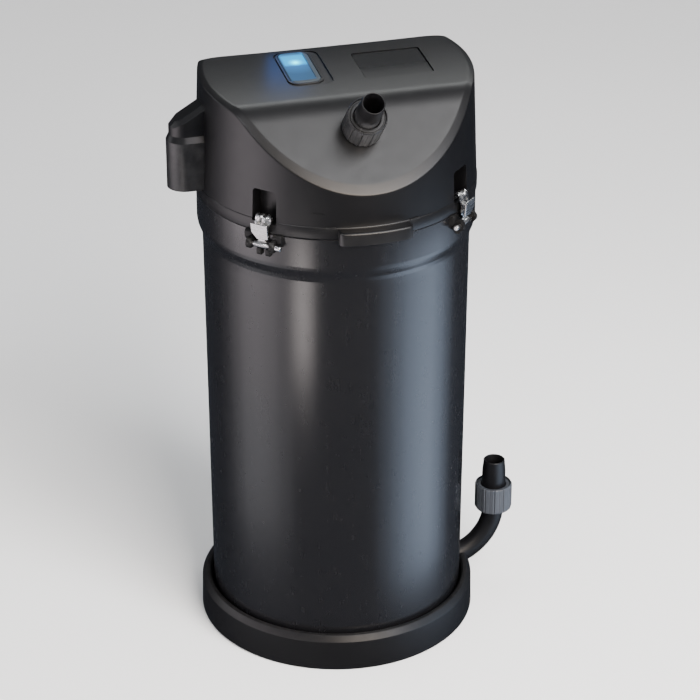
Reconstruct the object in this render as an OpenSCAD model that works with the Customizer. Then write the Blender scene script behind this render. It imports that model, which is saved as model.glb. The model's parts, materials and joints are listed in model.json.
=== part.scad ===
// Canister filter: clear-walled pressure canister on a base dish, pump head
// held down by four spring clips, hose unions for inlet and outlet.
// Millimetres. +Z up, front of the head faces -Y, origin at the centre of the
// base dish's underside.

/* [Canister] */
// Outer radius of the canister at the foot of its collar
canister_r = 80; // [79.5:0.1:80.2]
// How much narrower the canister is at its floor, on radius
canister_draft = 1.85; // [1.4:0.05:2.2]
// Canister wall thickness
canister_wall = 2.8; // [2.4:0.1:3]
// Outer radius of the collar that the head sits on
collar_r = 83.2; // [82.8:0.1:83.4]

/* [Base dish] */
// Outer radius of the base dish
base_r = 86; // [85.5:0.1:87]
// Height of the base dish
base_h = 23.7; // [23:0.1:25]

/* [Pump head] */
// Outer radius of the rim band of the head
head_rim_r = 83.9; // [83.6:0.1:84.2]
// Slope of the front face, degrees from horizontal
face_slope = 44.33; // [44:0.01:44.7]
// Tilt of the top panel, degrees down towards the front
top_tilt = 5.12; // [4.8:0.02:5.4]
// Thickness of the head's walls
head_wall = 3; // [2.6:0.1:3.2]

/* [Hose unions] */
// Outer radius of the barbs at the mouth
barb_r = 6.8; // [6.6:0.1:6.9]
// Flow bore radius of the barbs
flow_r = 5.4; // [5:0.1:5.5]
// Height of the union nuts
nut_h = 18; // [17.5:0.1:18.4]
// Number of grip flats on a union nut, with a groove between each two
nut_flats = 12; // [8:1:16]

/* [Inlet elbow] */
// Bend radius of the inlet elbow, on its centre line
elbow_bend = 34.4; // [34:0.1:34.8]
// Outer radius of the inlet elbow's pipe
elbow_r = 6.7; // [6.5:0.1:6.8]

/* [Clips] */
// Width of a spring clip's hook strip
clip_w = 8.7; // [8:0.1:9]
// Radius of a clip's pivot pin
clip_pin_r = 1.0; // [0.8:0.05:1.1]

/* [Hidden] */
$fn = 96;
e = 0.01;

// canister profile
function can_r(z) = canister_r - canister_draft*(258 - z)/244;
rim_z = 290.6;
collar_bore_r = 77.2;
head_z0 = 291.8;

// head planes in the YZ plane: front face, top panel, rear face
face_m = tan(face_slope);
face_c = 400.29;
top_m = tan(top_tilt);
top_c = 364.0;
rear_m = -1;
rear_y = 28.95;
rear_c = top_c + top_m*rear_y + rear_y;
function head_r(z) = head_rim_r - 2.335*(z - 296)/59;
function off_c(m, c, d) = c - d*sqrt(1 + m*m);
function meet_y(m1, c1, m2, c2) = (c2 - c1)/(m1 - m2);

// unions
outlet_y = -54.9;
outlet_z = face_c + face_m*outlet_y;
inlet_x = 104.4;
inlet_z = 50.2;
elbow_cx = 70;
elbow_cz = 51.6;
barb_mouth_h = 35;

// pump
chamber_r = 27;
chamber_z0 = 271;
chamber_z1 = 289.8;
duct_y = -32.8;
duct_bend = 15;
duct_ro = 7.6;
duct_ri = 5.4;

// clips
clip_angles = [45, -45, -135, 135];
clip_pin_R = 87;
screw_R = 68.4;
clip_pin_z = 284.5;
pocket_w = 16;
pocket_z0 = 297;
pocket_z1 = 317;

// top panel frame
module on_top() { translate([-0.7, -2.35, top_c - 2.35*top_m]) rotate([top_tilt, 0, 0]) children(); }
// front face frame at the outlet: local +Z leaves the face
module on_face() { translate([0, outlet_y, outlet_z]) rotate([face_slope, 0, 0]) children(); }
module at_inlet() { translate([inlet_x, 0, inlet_z]) children(); }
// a point at angle a from the front (to the right), local +X points outwards
module around(a) { rotate([0, 0, a - 90]) children(); }
module ring(ro, ri, z0, z1) {
    rotate_extrude($fn = 128) polygon([[ri, z0], [ro, z0], [ro, z1], [ri, z1]]);
}
module stadium(r, x0, z0, z1) {
    translate([x0, 0, z0]) cylinder(r = r, h = z1 - z0);
    translate([x0, -r, z0]) cube([-x0 - 70, 2*r, z1 - z0]);
}

// ---------------------------------------------------------------- canister
module base_dish() color([0.10, 0.10, 0.11]) difference() {
    rotate_extrude($fn = 160) polygon([[0, 0], [base_r - 1.2, 0], [base_r, 1.2],
        [base_r - 0.4, base_h - 3.7], [base_r - 3.3, base_h],
        [80.6, base_h], [79.4, base_h - 1.2], [79.0, 9], [76, 6], [0, 6]]);
    // notch for the inlet elbow
    translate([76, 0, 18.8]) rotate([0, 90, 0]) cylinder(r = 7.8, h = 20);
    translate([76, -7.8, 18.8]) cube([20, 15.6, 10]);
}

module canister_shell() color([0.22, 0.21, 0.21, 0.9]) difference() {
    union() {
        rotate_extrude($fn = 160) polygon([[0, 6], [71, 6], [74.6, 7], [77.2, 9.6],
            [can_r(14), 14], [can_r(258), 258], [canister_r + 0.15, 262.2],
            [canister_r + 0.9, 265.2], [81.9, 267.6], [collar_r - 0.4, 270],
            [collar_r, 272.4], [collar_r, rim_z - 0.6], [collar_r - 0.6, rim_z],
            [collar_bore_r, rim_z], [collar_bore_r, 268], [76.9, 262],
            [can_r(14) - canister_wall, 14], [73.4, 10.6], [71, 9], [0, 9]]);
        // clip lugs on the collar
        for (a = clip_angles) around(a) {
            for (s = [-1, 1]) scale([1, s, 1]) {
                // block with a chamfered lower edge
                translate([0, 12.2, 0]) rotate([90, 0, 0]) linear_extrude(5.9) polygon([[collar_r - 2.4, 283.2],
                    [collar_r, 284.2], [85.2, 286.6], [85.2, 290], [84.2, 291.2], [collar_r - 2.4, 291.2]]);
                // ear that holds the pin
                difference() {
                    union() {
                        translate([collar_r - 1.2, 6.3, 281.1]) cube([4.7, 2.5, 6.8]);
                        translate([86.7, 6.3, clip_pin_z]) rotate([-90, 0, 0]) cylinder(r = 3.4, h = 2.5);
                    }
                    translate([clip_pin_R, 5, clip_pin_z]) rotate([-90, 0, 0]) cylinder(r = clip_pin_r, h = 5);
                }
            }
            // feet under the ears
            for (t = [-4.2, 1.6]) translate([collar_r - 1.2, t, 276.8])
                cube([3.4, 2.8, 4.4]);
        }
    }
    // inlet hole
    translate([73, 0, 17.9]) rotate([0, 90, 0]) cylinder(r = 8.7, h = 12);
}
elbow_z0 = elbow_cz - elbow_bend;
// how far straight runs lap a bend, and the bend's slightly smaller radius
lap = 0.3;
step = 0.02;
module elbow_run(r, back) {
    // straight tail inside the canister, quarter bend, vertical leg
    translate([elbow_cx - back, 0, elbow_z0]) rotate([0, 90, 0]) cylinder(r = r, h = back + lap);
    translate([elbow_cx, 0, elbow_cz]) rotate([90, 0, 0]) rotate([0, 0, -90])
        rotate_extrude(angle = 90, $fn = 96) translate([elbow_bend, 0]) circle(r = r - step, $fn = 64);
    translate([inlet_x, 0, elbow_cz - lap]) cylinder(r = r, h = inlet_z + 6.8 - elbow_cz + lap);
}
module inlet_elbow() color([0.09, 0.09, 0.10]) difference() {
    union() {
        elbow_run(elbow_r, 6);
        translate([inlet_x, 0, inlet_z + 2]) cylinder(r = 9.5, h = 4.8);
    }
    elbow_run(flow_r, 8);
    translate([inlet_x, 0, elbow_cz + 1]) cylinder(r = flow_r, h = 12);
}
module elbow_seal() color([0.05, 0.05, 0.05]) difference() {
    translate([73, 0, 17.9]) rotate([0, 90, 0]) cylinder(r = 8.7, h = 5.6);
    translate([elbow_cx, 0, elbow_cz]) rotate([90, 0, 0]) rotate([0, 0, -90])
        rotate_extrude(angle = 40, $fn = 96) translate([elbow_bend, 0]) circle(r = elbow_r - step, $fn = 64);
}

// ------------------------------------------------------------------ unions
module hose_barb() difference() {
    rotate_extrude() polygon([[0, 8], [9.3, 8], [9.3, 11.6], [7.7, 11.6], [7.7, 13], [7.3, 17],
        [barb_r, barb_mouth_h - 7], [barb_r, barb_mouth_h - 0.4], [barb_r - 0.4, barb_mouth_h], [0, barb_mouth_h]]);
    translate([0, 0, 7]) cylinder(r = flow_r, h = 40);
}
module barb_seal() ring(9.3, 6.6, 8 - 1.2, 8);
module union_nut() difference() {
    intersection() {
        translate([0, 0, 0.3]) linear_extrude(nut_h - 0.3) polygon([for (i = [0:nut_flats - 1], k = [-0.4, 0.4, 0.5])
            let (r = k == 0.5 ? 11.2 : 11.9, a = 360*(i + k)/nut_flats) [r*cos(a), r*sin(a)]]);
        rotate_extrude() polygon([[0, 0], [10.2, 0], [12, 1.8], [12, nut_h - 0.5], [11.6, nut_h], [0, nut_h]]);
    }
    translate([0, 0, -1]) cylinder(r = 9.8, h = 12.9);
    cylinder(r = 8.0, h = 20);
    // sunken lip inside the rim, with a narrow groove round it
    translate([0, 0, nut_h - 0.8]) cylinder(r = 10.9, h = 3);
    translate([0, 0, nut_h - 1.6]) difference() {
        cylinder(r = 10.9, h = 3);
        translate([0, 0, -1]) cylinder(r = 9.9, h = 5);
    }
}
module inlet_hose_barb() color([0.08, 0.08, 0.09]) at_inlet() hose_barb();
module inlet_barb_seal() color([0.04, 0.04, 0.04]) translate([0, 0, 0]) at_inlet() ring(9.2, 6.9, 6.8, 8);
module inlet_union_nut() color([0.45, 0.46, 0.48]) at_inlet() union_nut();
module outlet_hose_barb() color([0.08, 0.08, 0.09]) on_face() hose_barb();
module outlet_barb_seal() color([0.04, 0.04, 0.04]) on_face() ring(9.2, 6.9, 6.8, 8);
module outlet_union_nut() color([0.45, 0.46, 0.48]) on_face() union_nut();

// ------------------------------------------------------------ inside trays
module screen_disc(r, z0, z1) difference() {
    translate([0, 0, z0]) cylinder(r = r, h = z1 - z0);
    for (i = [-6:6]) let (x = i*10, hl = sqrt(66*66 - x*x)) {
        translate([x - 2.6, 2.5, z0 - 1]) cube([5.2, hl - 2.5, 10]);
        translate([x - 2.6, -hl, z0 - 1]) cube([5.2, hl - 2.5, 10]);
    }
}
module lower_screen() color([0.12, 0.12, 0.13]) {
    screen_disc(74.6, 28, 31);
    for (x = [-45, 45], y = [-35, 35]) translate([x, y, 9]) cylinder(r = 2.2, h = 20);
}
module ceramic_media() color([0.86, 0.80, 0.70]) translate([0, 0, 31]) cylinder(r = 75, h = 55);
module coarse_pad() color([0.20, 0.42, 0.70]) translate([0, 0, 86]) cylinder(r = 75.6, h = 18);
module bio_media() color([0.72, 0.50, 0.36]) translate([0, 0, 104]) cylinder(r = 75.2, h = 72);
module fine_pad() color([0.93, 0.93, 0.92]) translate([0, 0, 176]) cylinder(r = 76.2, h = 16);
module upper_screen() color([0.12, 0.12, 0.13]) {
    screen_disc(75.4, 192, 195);
    ring(75.4, 72.8, 195, 203);
    // lift loop across the middle
    for (s = [-1, 1]) translate([-3, s*16 - 2, 195]) cube([6, 4, 13]);
    translate([-3, -18, 208]) cube([6, 36, 4]);
}

// ------------------------------------------------------------------- clips
// side of each clip that its pin's head is on: the one nearer the front or rear centre
function clip_side(a) = sin(2*a) < 0 ? 1 : -1;
module clip_pins() color([0.85, 0.86, 0.88]) for (a = clip_angles) around(a) scale([1, clip_side(a), 1])
    translate([clip_pin_R, 0, clip_pin_z]) rotate([-90, 0, 0]) {
        translate([0, 0, -8.4]) cylinder(r = clip_pin_r, h = 17.3);
        translate([0, 0, 8.9]) cylinder(r = 1.6, h = 4.2);
    }
function strip(p, t) = concat([for (q = p) [q[0], q[1]]],
    [for (i = [len(p) - 1:-1:0]) [p[i][0] + p[i][2]*t, p[i][1] + p[i][3]*t]]);
module clip(a) color([0.82, 0.83, 0.85]) around(a) scale([1, clip_side(a), 1]) difference() {
    union() {
        // rolled barrel
        translate([clip_pin_R, -clip_w/2, clip_pin_z]) rotate([-90, 0, 0]) cylinder(r = 1.7, h = clip_w);
        // spring strip and its hook
        translate([0, clip_w/2, 0]) rotate([90, 0, 0]) linear_extrude(clip_w) polygon(strip([
            [85.4, 284.6, 1.0, 0], [85.6, 292, 1.0, 0], [85.7, 297.6, 1.0, 0],
            [85.0, 301.0, 0.9, 0.6], [82.8, 301.9, 0.3, 1.0], [81.9, 300.8, -0.9, 0.5],
            [81.3, 297.7, -1.0, 0]], 1));
        // web and finger plate
        translate([85.8, -3, 291]) cube([3.6, 6, 5]);
        translate([88.9, 0, 0]) rotate([90, 0, 90]) linear_extrude(1) polygon([[-5.3, 298.5],
            [5.7, 298.5], [5.7, 289.4], [-1.3, 288.7], [-4.9, 292.8]]);
    }
    translate([clip_pin_R, -20, clip_pin_z]) rotate([-90, 0, 0]) cylinder(r = clip_pin_r + 0.05, h = 40);
}
module clip_front_right() clip(clip_angles[0]);
module clip_front_left() clip(clip_angles[1]);
module clip_rear_left() clip(clip_angles[2]);
module clip_rear_right() clip(clip_angles[3]);

// -------------------------------------------------------------------- head
module head_prism(d, z0) {
    f = off_c(face_m, face_c, d);
    t = off_c(top_m, top_c, d);
    r = off_c(rear_m, rear_c, d);
    y1 = meet_y(face_m, f, top_m, t);
    y2 = meet_y(top_m, t, rear_m, r);
    rotate([90, 0, 90]) translate([0, 0, -100]) linear_extrude(200) polygon([
        [-100, z0], [-100, max(z0 + 1, f - 100*face_m)], [y1, t + top_m*y1],
        [y2, t + top_m*y2], [100, max(z0 + 1, r - 100)], [100, z0]]);
}
module head_solid() intersection() {
    rotate_extrude($fn = 160) polygon([[0, head_z0], [head_rim_r - 0.8, head_z0],
        [head_rim_r, head_z0 + 0.9], [head_rim_r, 298.4], [head_r(298.9) - 0.25, 298.9],
        [head_r(375) - 0.25, 375], [0, 375]]);
    head_prism(0, 285);
}
module head_cavity() intersection() {
    rotate_extrude($fn = 160) polygon([[0, head_z0 - 1], [head_rim_r - head_wall, head_z0 - 1],
        [head_rim_r - head_wall, 296], [head_r(375) - 0.25 - head_wall, 375], [0, 375]]);
    head_prism(head_wall, 285);
}
module head_housing() color([0.13, 0.13, 0.14]) difference() {
    union() {
        difference() { head_solid(); head_cavity(); }
        intersection() {
            head_solid();
            union() {
                // pocket boxes behind the clip recesses
                for (a = clip_angles) around(a)
                    translate([71.5, -pocket_w/2 - 2.4, 296]) cube([20, pocket_w + 4.8, pocket_z1 + 2.4 - 296]);
                // screw bosses
                for (a = [0:90:270]) around(a) translate([screw_R, 0, 296.2]) cylinder(r = 4.6, h = 15);
                for (a = [0:90:270]) around(a) translate([screw_R, -2, 296.2]) cube([12.5, 4, 15]);
            }
        }
        // bosses for the control board, under the top panel
        on_top() for (p = board_pts) translate([p[0], p[1], -12.4]) cylinder(r = 3.2, h = 10);
        // grip tab
        intersection() {
            rotate_extrude($fn = 128) polygon([[80.5, 290.2], [90.2, 290.2], [91, 291],
                [91, 297.2], [90.2, 298], [80.5, 298]]);
            union() {
                linear_extrude(400) polygon([[0, -10], [-20.6, -82], [-20.6, -95], [20.6, -95], [20.6, -82], [0, -10]]);
            }
        }
    }
    // keep the tab out of the cavity
    difference() {
        rotate_extrude($fn = 160) polygon([[0, 285], [collar_r + 0.5, 285], [collar_r + 0.5, head_z0],
            [head_rim_r - head_wall, head_z0], [head_rim_r - head_wall, 296.2], [0, 296.2]]);
    }
    // clip recesses
    for (a = clip_angles) around(a)
        translate([74, -pocket_w/2, pocket_z0]) cube([20, pocket_w, pocket_z1 - pocket_z0]);
    // screw holes
    for (a = [0:90:270]) around(a) translate([screw_R, 0, 290]) cylinder(r = 1.6, h = 18);
    // outlet opening
    on_face() translate([0, 0, -10]) cylinder(r = duct_ro, h = 20);
    // button opening and seat for its bezel
    on_top() {
        translate([-32.4, -19.4, -1.2]) cube([27.2, 45.6, 10]);
        translate([-31.2, -16, -10]) cube([21.6, 41.4, 20]);
        for (p = board_pts) translate([p[0], p[1], -14]) cylinder(r = 1.3, h = 9);
        // seat of the display window
        translate([13.3, -17.4, -1.6]) cube([41.6, 33.4, 10]);
        translate([17.3, -13.4, -10]) cube([33.6, 25.4, 20]);
    }
    // cable way into the side compartment
    translate([-90, 0, 318]) rotate([0, 90, 0]) cylinder(r = 4, h = 20);
    for (p = cable_pts) translate([-90, p[0], p[1]]) rotate([0, 90, 0]) cylinder(r = 1.4, h = 13);
}
module head_base_plate() color([0.16, 0.16, 0.17]) difference() {
    union() {
        rotate_extrude($fn = 128) polygon([[0, head_z0], [head_rim_r - head_wall, head_z0],
            [head_rim_r - head_wall, 296.2], [0, 296.2]]);
        rotate_extrude($fn = 128) polygon([[71.8, 279], [76.2, 279], [76.9, 279.8], [76.9, 282.9],
            [73.9, 282.9], [73.9, 285.9], [76.9, 285.9], [76.9, head_z0], [71.8, head_z0]]);
        // roof of the pump chamber
        translate([0, 0, chamber_z1]) cylinder(r = 34, h = 2.2);
        translate([-12, -46, chamber_z1]) cube([24, 40, 2.2]);
    }
    for (a = [0:90:270]) around(a) translate([screw_R, 0, 285]) cylinder(r = 1.6, h = 18);
    // rotor well and duct hole
    translate([0, 0, 280]) cylinder(r = 13, h = 30);
    translate([0, duct_y, 280]) cylinder(r = duct_ri, h = 30);
    for (p = cover_pts) translate([p[0], p[1], 285]) cylinder(r = 1.3, h = 10);
}
cover_pts = [[-30.5, 0], [30.5, 0], [0, 30.5], [-9.5, -43.5], [9.5, -43.5]];
module head_seal() color([0.03, 0.03, 0.03]) rotate_extrude($fn = 128) translate([75.4, 284.4]) circle(r = 1.5, $fn = 32);
module head_screws() color([0.7, 0.7, 0.72]) for (a = [0:90:270]) around(a) translate([screw_R, 0, 0]) {
    translate([0, 0, 290]) cylinder(r = 2.9, h = 1.8);
    translate([0, 0, 291.8]) cylinder(r = 1.6, h = 15);
}
module impeller_cover() color([0.14, 0.14, 0.15]) difference() {
    union() {
        translate([0, 0, chamber_z0 - 2.5]) cylinder(r = 34, h = chamber_z1 - chamber_z0 + 2.5);
        translate([-12, -46, chamber_z0 - 2.5]) cube([24, 40, chamber_z1 - chamber_z0 + 2.5]);
        // intake collar
        translate([0, 0, chamber_z0 - 8]) cylinder(r = 13, h = 8);
    }
    translate([0, 0, chamber_z0]) cylinder(r = chamber_r, h = 40);
    translate([-7.5, -40.5, chamber_z0]) cube([15, 34, 40]);
    // intake with a spider that carries the lower bush
    difference() {
        translate([0, 0, 250]) cylinder(r = 10, h = 40);
        translate([0, 0, chamber_z0 - 8]) cylinder(r = 3.4, h = 6);
        for (a = [0:120:240]) rotate([0, 0, a]) translate([0, -1, chamber_z0 - 8]) cube([12, 2, 5]);
    }
    translate([0, 0, 250]) cylinder(r = 2.4, h = 40);
    for (p = cover_pts) translate([p[0], p[1], 260]) cylinder(r = 1.3, h = 40);
}
module impeller_cover_screws() color([0.7, 0.7, 0.72]) for (p = cover_pts) translate([p[0], p[1], 0]) {
    translate([0, 0, chamber_z0 - 2.5 - 1.8]) cylinder(r = 2.4, h = 1.8);
    translate([0, 0, chamber_z0 - 2.5]) cylinder(r = 1.3, h = 292.8 - chamber_z0 + 2.5);
}
module rotor_can() color([0.20, 0.20, 0.21]) difference() {
    union() {
        translate([0, 0, 296.2]) cylinder(r = 19.2, h = 2.4);
        translate([0, 0, 296.2]) cylinder(r = 14.4, h = 37.8);
    }
    translate([0, 0, 290]) cylinder(r = 13, h = 41.6);
    translate([0, 0, 329]) cylinder(r = 2.4, h = 3.6);
}
module rotor_can_seal() color([0.04, 0.04, 0.04]) ring(21, 19.2, 296.2, 297.8);
module motor_core() color([0.55, 0.53, 0.50]) difference() {
    union() {
        translate([-30, -13, 304]) cube([14, 58, 16]);
        translate([16, -13, 304]) cube([14, 58, 16]);
        translate([-30, 45, 304]) cube([60, 12, 16]);
        translate([-17, -10, 304]) cube([34, 20, 16]);
    }
    translate([0, 0, 300]) cylinder(r = 14.5, h = 24);
    translate([-3, -20, 300]) cube([6, 40, 24]);
}
module motor_coils() color([0.72, 0.38, 0.16]) for (s = [-1, 1]) translate([s*23, 0, 0]) difference() {
    translate([-13, 17, 298.6]) cube([26, 25, 26.8]);
    translate([-7, 10, 304]) cube([14, 40, 16]);
}
module impeller_shaft() color([0.92, 0.91, 0.88]) translate([0, 0, chamber_z0 - 6]) cylinder(r = 1.25, h = 332.4 - chamber_z0 + 6);
module shaft_bushes() color([0.05, 0.05, 0.05]) {
    difference() {
        translate([0, 0, chamber_z0 - 8]) cylinder(r = 2.4, h = 5.4);
        translate([0, 0, chamber_z0 - 6]) cylinder(r = 1.25, h = 20);
    }
    difference() {
        translate([0, 0, 329]) cylinder(r = 2.4, h = 3.6);
        translate([0, 0, 320]) cylinder(r = 1.25, h = 12.4);
    }
}
module rotor_magnet() color([0.25, 0.25, 0.27]) difference() {
    translate([0, 0, 296]) cylinder(r = 11.8, h = 30);
    translate([0, 0, 290]) cylinder(r = 4, h = 40);
}
module impeller() color([0.85, 0.45, 0.12]) difference() {
    union() {
        translate([0, 0, 274]) cylinder(r = 6, h = 22);
        translate([0, 0, 286]) cylinder(r = 22, h = 1.6);
        translate([0, 0, 296]) cylinder(r = 4, h = 31);
        for (a = [0:60:300]) rotate([0, 0, a]) translate([4, -0.9, 274.8]) cube([17.4, 1.8, 11.8]);
    }
    translate([0, 0, 270]) cylinder(r = 1.3, h = 70);
}
// distances along the duct's centre line: corner to face, corner to bend end
duct_s = (duct_y - outlet_y)/sin(face_slope);
duct_t = duct_bend*tan(face_slope/2);
duct_arc_z = outlet_z - duct_s*cos(face_slope) - duct_t;
module duct_run(r, low, high) {
    translate([0, duct_y, low]) cylinder(r = r, h = duct_arc_z - low + lap);
    translate([0, duct_y - duct_bend, duct_arc_z]) rotate([90, 0, 90])
        rotate_extrude(angle = face_slope, $fn = 96) translate([duct_bend, 0]) circle(r = r - step, $fn = 64);
    on_face() translate([0, 0, duct_t - duct_s - lap]) cylinder(r = r, h = duct_s - duct_t + high + lap);
}
module outlet_duct() color([0.15, 0.15, 0.16]) difference() {
    union() {
        duct_run(duct_ro, 296.2, 5);
        translate([0, duct_y, 296.2]) cylinder(r = 9.8, h = 2.2);
        on_face() translate([0, 0, 0.3]) cylinder(r = 9.5, h = 6.5);
    }
    duct_run(duct_ri, 290, 20);
}
module duct_seal() color([0.04, 0.04, 0.04]) translate([0, duct_y, 0]) ring(11.2, 9.8, 296.2, 297.8);
module control_board() color([0.10, 0.32, 0.16]) on_top() difference() {
    translate([-40, -20.5, -14]) cube([99, 45, 1.6]);
    for (p = board_pts) translate([p[0], p[1], -20]) cylinder(r = 1.3, h = 20);
}
board_pts = [[-36.5, -17], [-36.5, 21], [55, -17], [55, 21]];
module board_screws() color([0.7, 0.7, 0.72]) on_top() for (p = board_pts) translate([p[0], p[1], 0]) {
    translate([0, 0, -16]) cylinder(r = 2.4, h = 2);
    translate([0, 0, -14]) cylinder(r = 1.3, h = 8);
}
module button_bezel() color([0.10, 0.10, 0.11]) on_top() difference() {
    union() {
        translate([-32.4, -19.4, -1.2]) cube([27.2, 45.6, 1.6]);
        translate([-31.2, -16, -3.6]) cube([21.6, 41.4, 2.6]);
    }
    translate([-30.1, -14.2, -10]) cube([18.9, 38.8, 20]);
}
module power_button() color([0.45, 0.72, 0.92, 0.8]) on_top() {
    translate([-29.8, -13.9, -2.6]) cube([18.3, 38.2, 3.2]);
    translate([-23.6, 1, -9.4]) cube([6, 6, 6.9]);
}
module button_spring_pad() color([0.75, 0.75, 0.72]) on_top() translate([-20.6, 4, -12.4]) cylinder(r = 3.2, h = 1.6);
module light_guide() color([0.80, 0.92, 0.98, 0.6]) on_top() translate([-23.5, 9.6, -12.4]) cube([4.6, 9, 8]);
module display_window() color([0.10, 0.11, 0.12]) on_top() {
    translate([13.3, -17.4, -1.6]) cube([41.6, 33.4, 1.4]);
    translate([17.3, -13.4, -3.4]) cube([33.6, 25.4, 1.8]);
}

// ------------------------------------------------------- cable compartment
// screws driven from inside the head: y, z, and the x their heads seat at
cable_pts = [[-7.5, 304.3, -79.6], [7.5, 304.3, -79.6], [0, 341, -78.6]];
module cable_cover_body(g) {
    stadium(10.5 - g, -91.8, 299.4 + g, 329.3);
    difference() {
        stadium(8.8 - g, -91.8, 329.3 - e, 362);
        // roof rising towards the head: a flat strip between two hips
        translate([-92.4, 0, 344.3 - g]) rotate([0, -atan(0.6), 0]) rotate([90, 0, 90]) translate([0, 0, -40]) linear_extrude(80)
            polygon([[-14, 30], [-14, -5.52], [-5.5, 0], [5.5, 0], [14, -5.52], [14, 30]]);
        // steeper outer end
        rotate([90, 0, 0]) translate([0, 0, -20]) linear_extrude(40)
            polygon([[-110, 327.39 - g], [-97.3, 341.36 - g], [-90, 349.39 - g], [-90, 380], [-110, 380]]);
    }
    // step between the lower box and the upper one
    translate([-91.8, 0, 329.3 - e]) cylinder(r1 = 10.5 - g, r2 = 8.8 - g, h = 3.5, $fn = 96);
    rotate([90, 0, 90]) translate([0, 0, -91.8]) linear_extrude(22)
        polygon([[-10.5 + g, 329.3 - e], [10.5 - g, 329.3 - e], [8.8 - g, 332.8], [-8.8 + g, 332.8]]);
}
module cable_cover() color([0.13, 0.13, 0.14]) difference() {
    cable_cover_body(0);
    // the head's own wall
    rotate_extrude($fn = 160) polygon([[0, 280], [head_rim_r, 280], [head_rim_r, 298.4],
        [head_r(298.9) - 0.25, 298.9], [head_r(375) - 0.25, 375], [0, 375]]);
    // inside
    translate([-91.8, 0, 309]) cylinder(r = 8.2, h = 18);
    translate([-91.8, -8.2, 309]) cube([20, 16.4, 18]);
    translate([-91.8, 0, 326]) cylinder(r = 6.4, h = 11);
    translate([-91.8, -6.4, 326]) cube([20, 12.8, 11]);
    // cable way and gland seat
    translate([-91.8, 0, 295]) cylinder(r = 5.6, h = 16);
    for (p = cable_pts) translate([-90, p[0], p[1]]) rotate([0, 90, 0]) cylinder(r = 1.4, h = 20);
}
module cable_gland() color([0.06, 0.06, 0.06]) translate([-91.8, 0, 0]) difference() {
    translate([0, 0, 299.6]) cylinder(r = 5.6, h = 9.4);
    translate([0, 0, 295]) cylinder(r = 3.3, h = 20);
}
module cable_cover_screws() color([0.7, 0.7, 0.72]) for (p = cable_pts) translate([p[2], p[0], p[1]]) rotate([0, 90, 0]) {
    cylinder(r = 2.4, h = 1.8);
    translate([0, 0, -90 - p[2]]) cylinder(r = 1.4, h = 90 + p[2]);
}

base_dish();
canister_shell();
inlet_elbow();
elbow_seal();
inlet_hose_barb();
inlet_barb_seal();
inlet_union_nut();
lower_screen();
ceramic_media();
coarse_pad();
bio_media();
fine_pad();
upper_screen();
clip_pins();
clip_front_right();
clip_front_left();
clip_rear_left();
clip_rear_right();
head_housing();
head_base_plate();
head_seal();
head_screws();
impeller_cover();
impeller_cover_screws();
rotor_can();
rotor_can_seal();
motor_core();
motor_coils();
impeller_shaft();
shaft_bushes();
rotor_magnet();
impeller();
outlet_duct();
duct_seal();
outlet_hose_barb();
outlet_barb_seal();
outlet_union_nut();
control_board();
board_screws();
button_bezel();
power_button();
button_spring_pad();
light_guide();
display_window();
cable_cover();
cable_gland();
cable_cover_screws();
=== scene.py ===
import json
import math

import bmesh
import bpy
import numpy as np
from mathutils import Matrix, Vector


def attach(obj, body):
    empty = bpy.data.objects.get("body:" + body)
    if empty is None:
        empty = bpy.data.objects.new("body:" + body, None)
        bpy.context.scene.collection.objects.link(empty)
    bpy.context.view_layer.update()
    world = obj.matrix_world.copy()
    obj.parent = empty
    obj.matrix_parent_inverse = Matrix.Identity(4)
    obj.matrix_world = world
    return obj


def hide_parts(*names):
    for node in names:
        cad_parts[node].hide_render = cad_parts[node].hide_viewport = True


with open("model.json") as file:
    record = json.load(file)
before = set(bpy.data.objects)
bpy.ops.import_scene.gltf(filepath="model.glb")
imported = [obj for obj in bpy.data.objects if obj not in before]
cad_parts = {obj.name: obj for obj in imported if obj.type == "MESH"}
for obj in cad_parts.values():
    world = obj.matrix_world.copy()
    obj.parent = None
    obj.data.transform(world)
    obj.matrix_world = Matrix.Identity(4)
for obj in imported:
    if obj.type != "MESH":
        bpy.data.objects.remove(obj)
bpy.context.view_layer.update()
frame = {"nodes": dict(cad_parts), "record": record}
nodes = frame["nodes"]
MM = 0.001
rad = math.radians


# ------------------------------------------------------------------ materials
def new_mat(name):
    m = bpy.data.materials.new(name)
    m.use_nodes = True
    nt = m.node_tree
    nt.nodes.clear()
    out = nt.nodes.new("ShaderNodeOutputMaterial")
    b = nt.nodes.new("ShaderNodeBsdfPrincipled")
    nt.links.new(b.outputs[0], out.inputs[0])
    return m, nt, b


def tex_coord(nt, scale=(1, 1, 1), rot=(0, 0, 0), loc=(0, 0, 0)):
    tc = nt.nodes.new("ShaderNodeTexCoord")
    mp = nt.nodes.new("ShaderNodeMapping")
    mp.inputs["Scale"].default_value = scale
    mp.inputs["Rotation"].default_value = rot
    mp.inputs["Location"].default_value = loc
    nt.links.new(tc.outputs["Object"], mp.inputs["Vector"])
    return mp.outputs["Vector"]


def noise(nt, vec, scale, detail=3.0, rough=0.5, dist=0.0):
    n = nt.nodes.new("ShaderNodeTexNoise")
    n.inputs["Scale"].default_value = scale
    n.inputs["Detail"].default_value = detail
    n.inputs["Roughness"].default_value = rough
    n.inputs["Distortion"].default_value = dist
    nt.links.new(vec, n.inputs["Vector"])
    return n.outputs["Fac"]


def ramp(nt, fac, stops, interp="LINEAR"):
    r = nt.nodes.new("ShaderNodeValToRGB")
    r.color_ramp.interpolation = interp
    els = r.color_ramp.elements
    while len(els) > 1:
        els.remove(els[-1])
    els[0].position = stops[0][0]
    els[0].color = rgba(stops[0][1])
    for p, c in stops[1:]:
        e = els.new(p)
        e.color = rgba(c)
    nt.links.new(fac, r.inputs["Fac"])
    return r.outputs["Color"]


def rgba(c):
    if isinstance(c, (int, float)):
        return (c, c, c, 1)
    return (c[0], c[1], c[2], 1)


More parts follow.
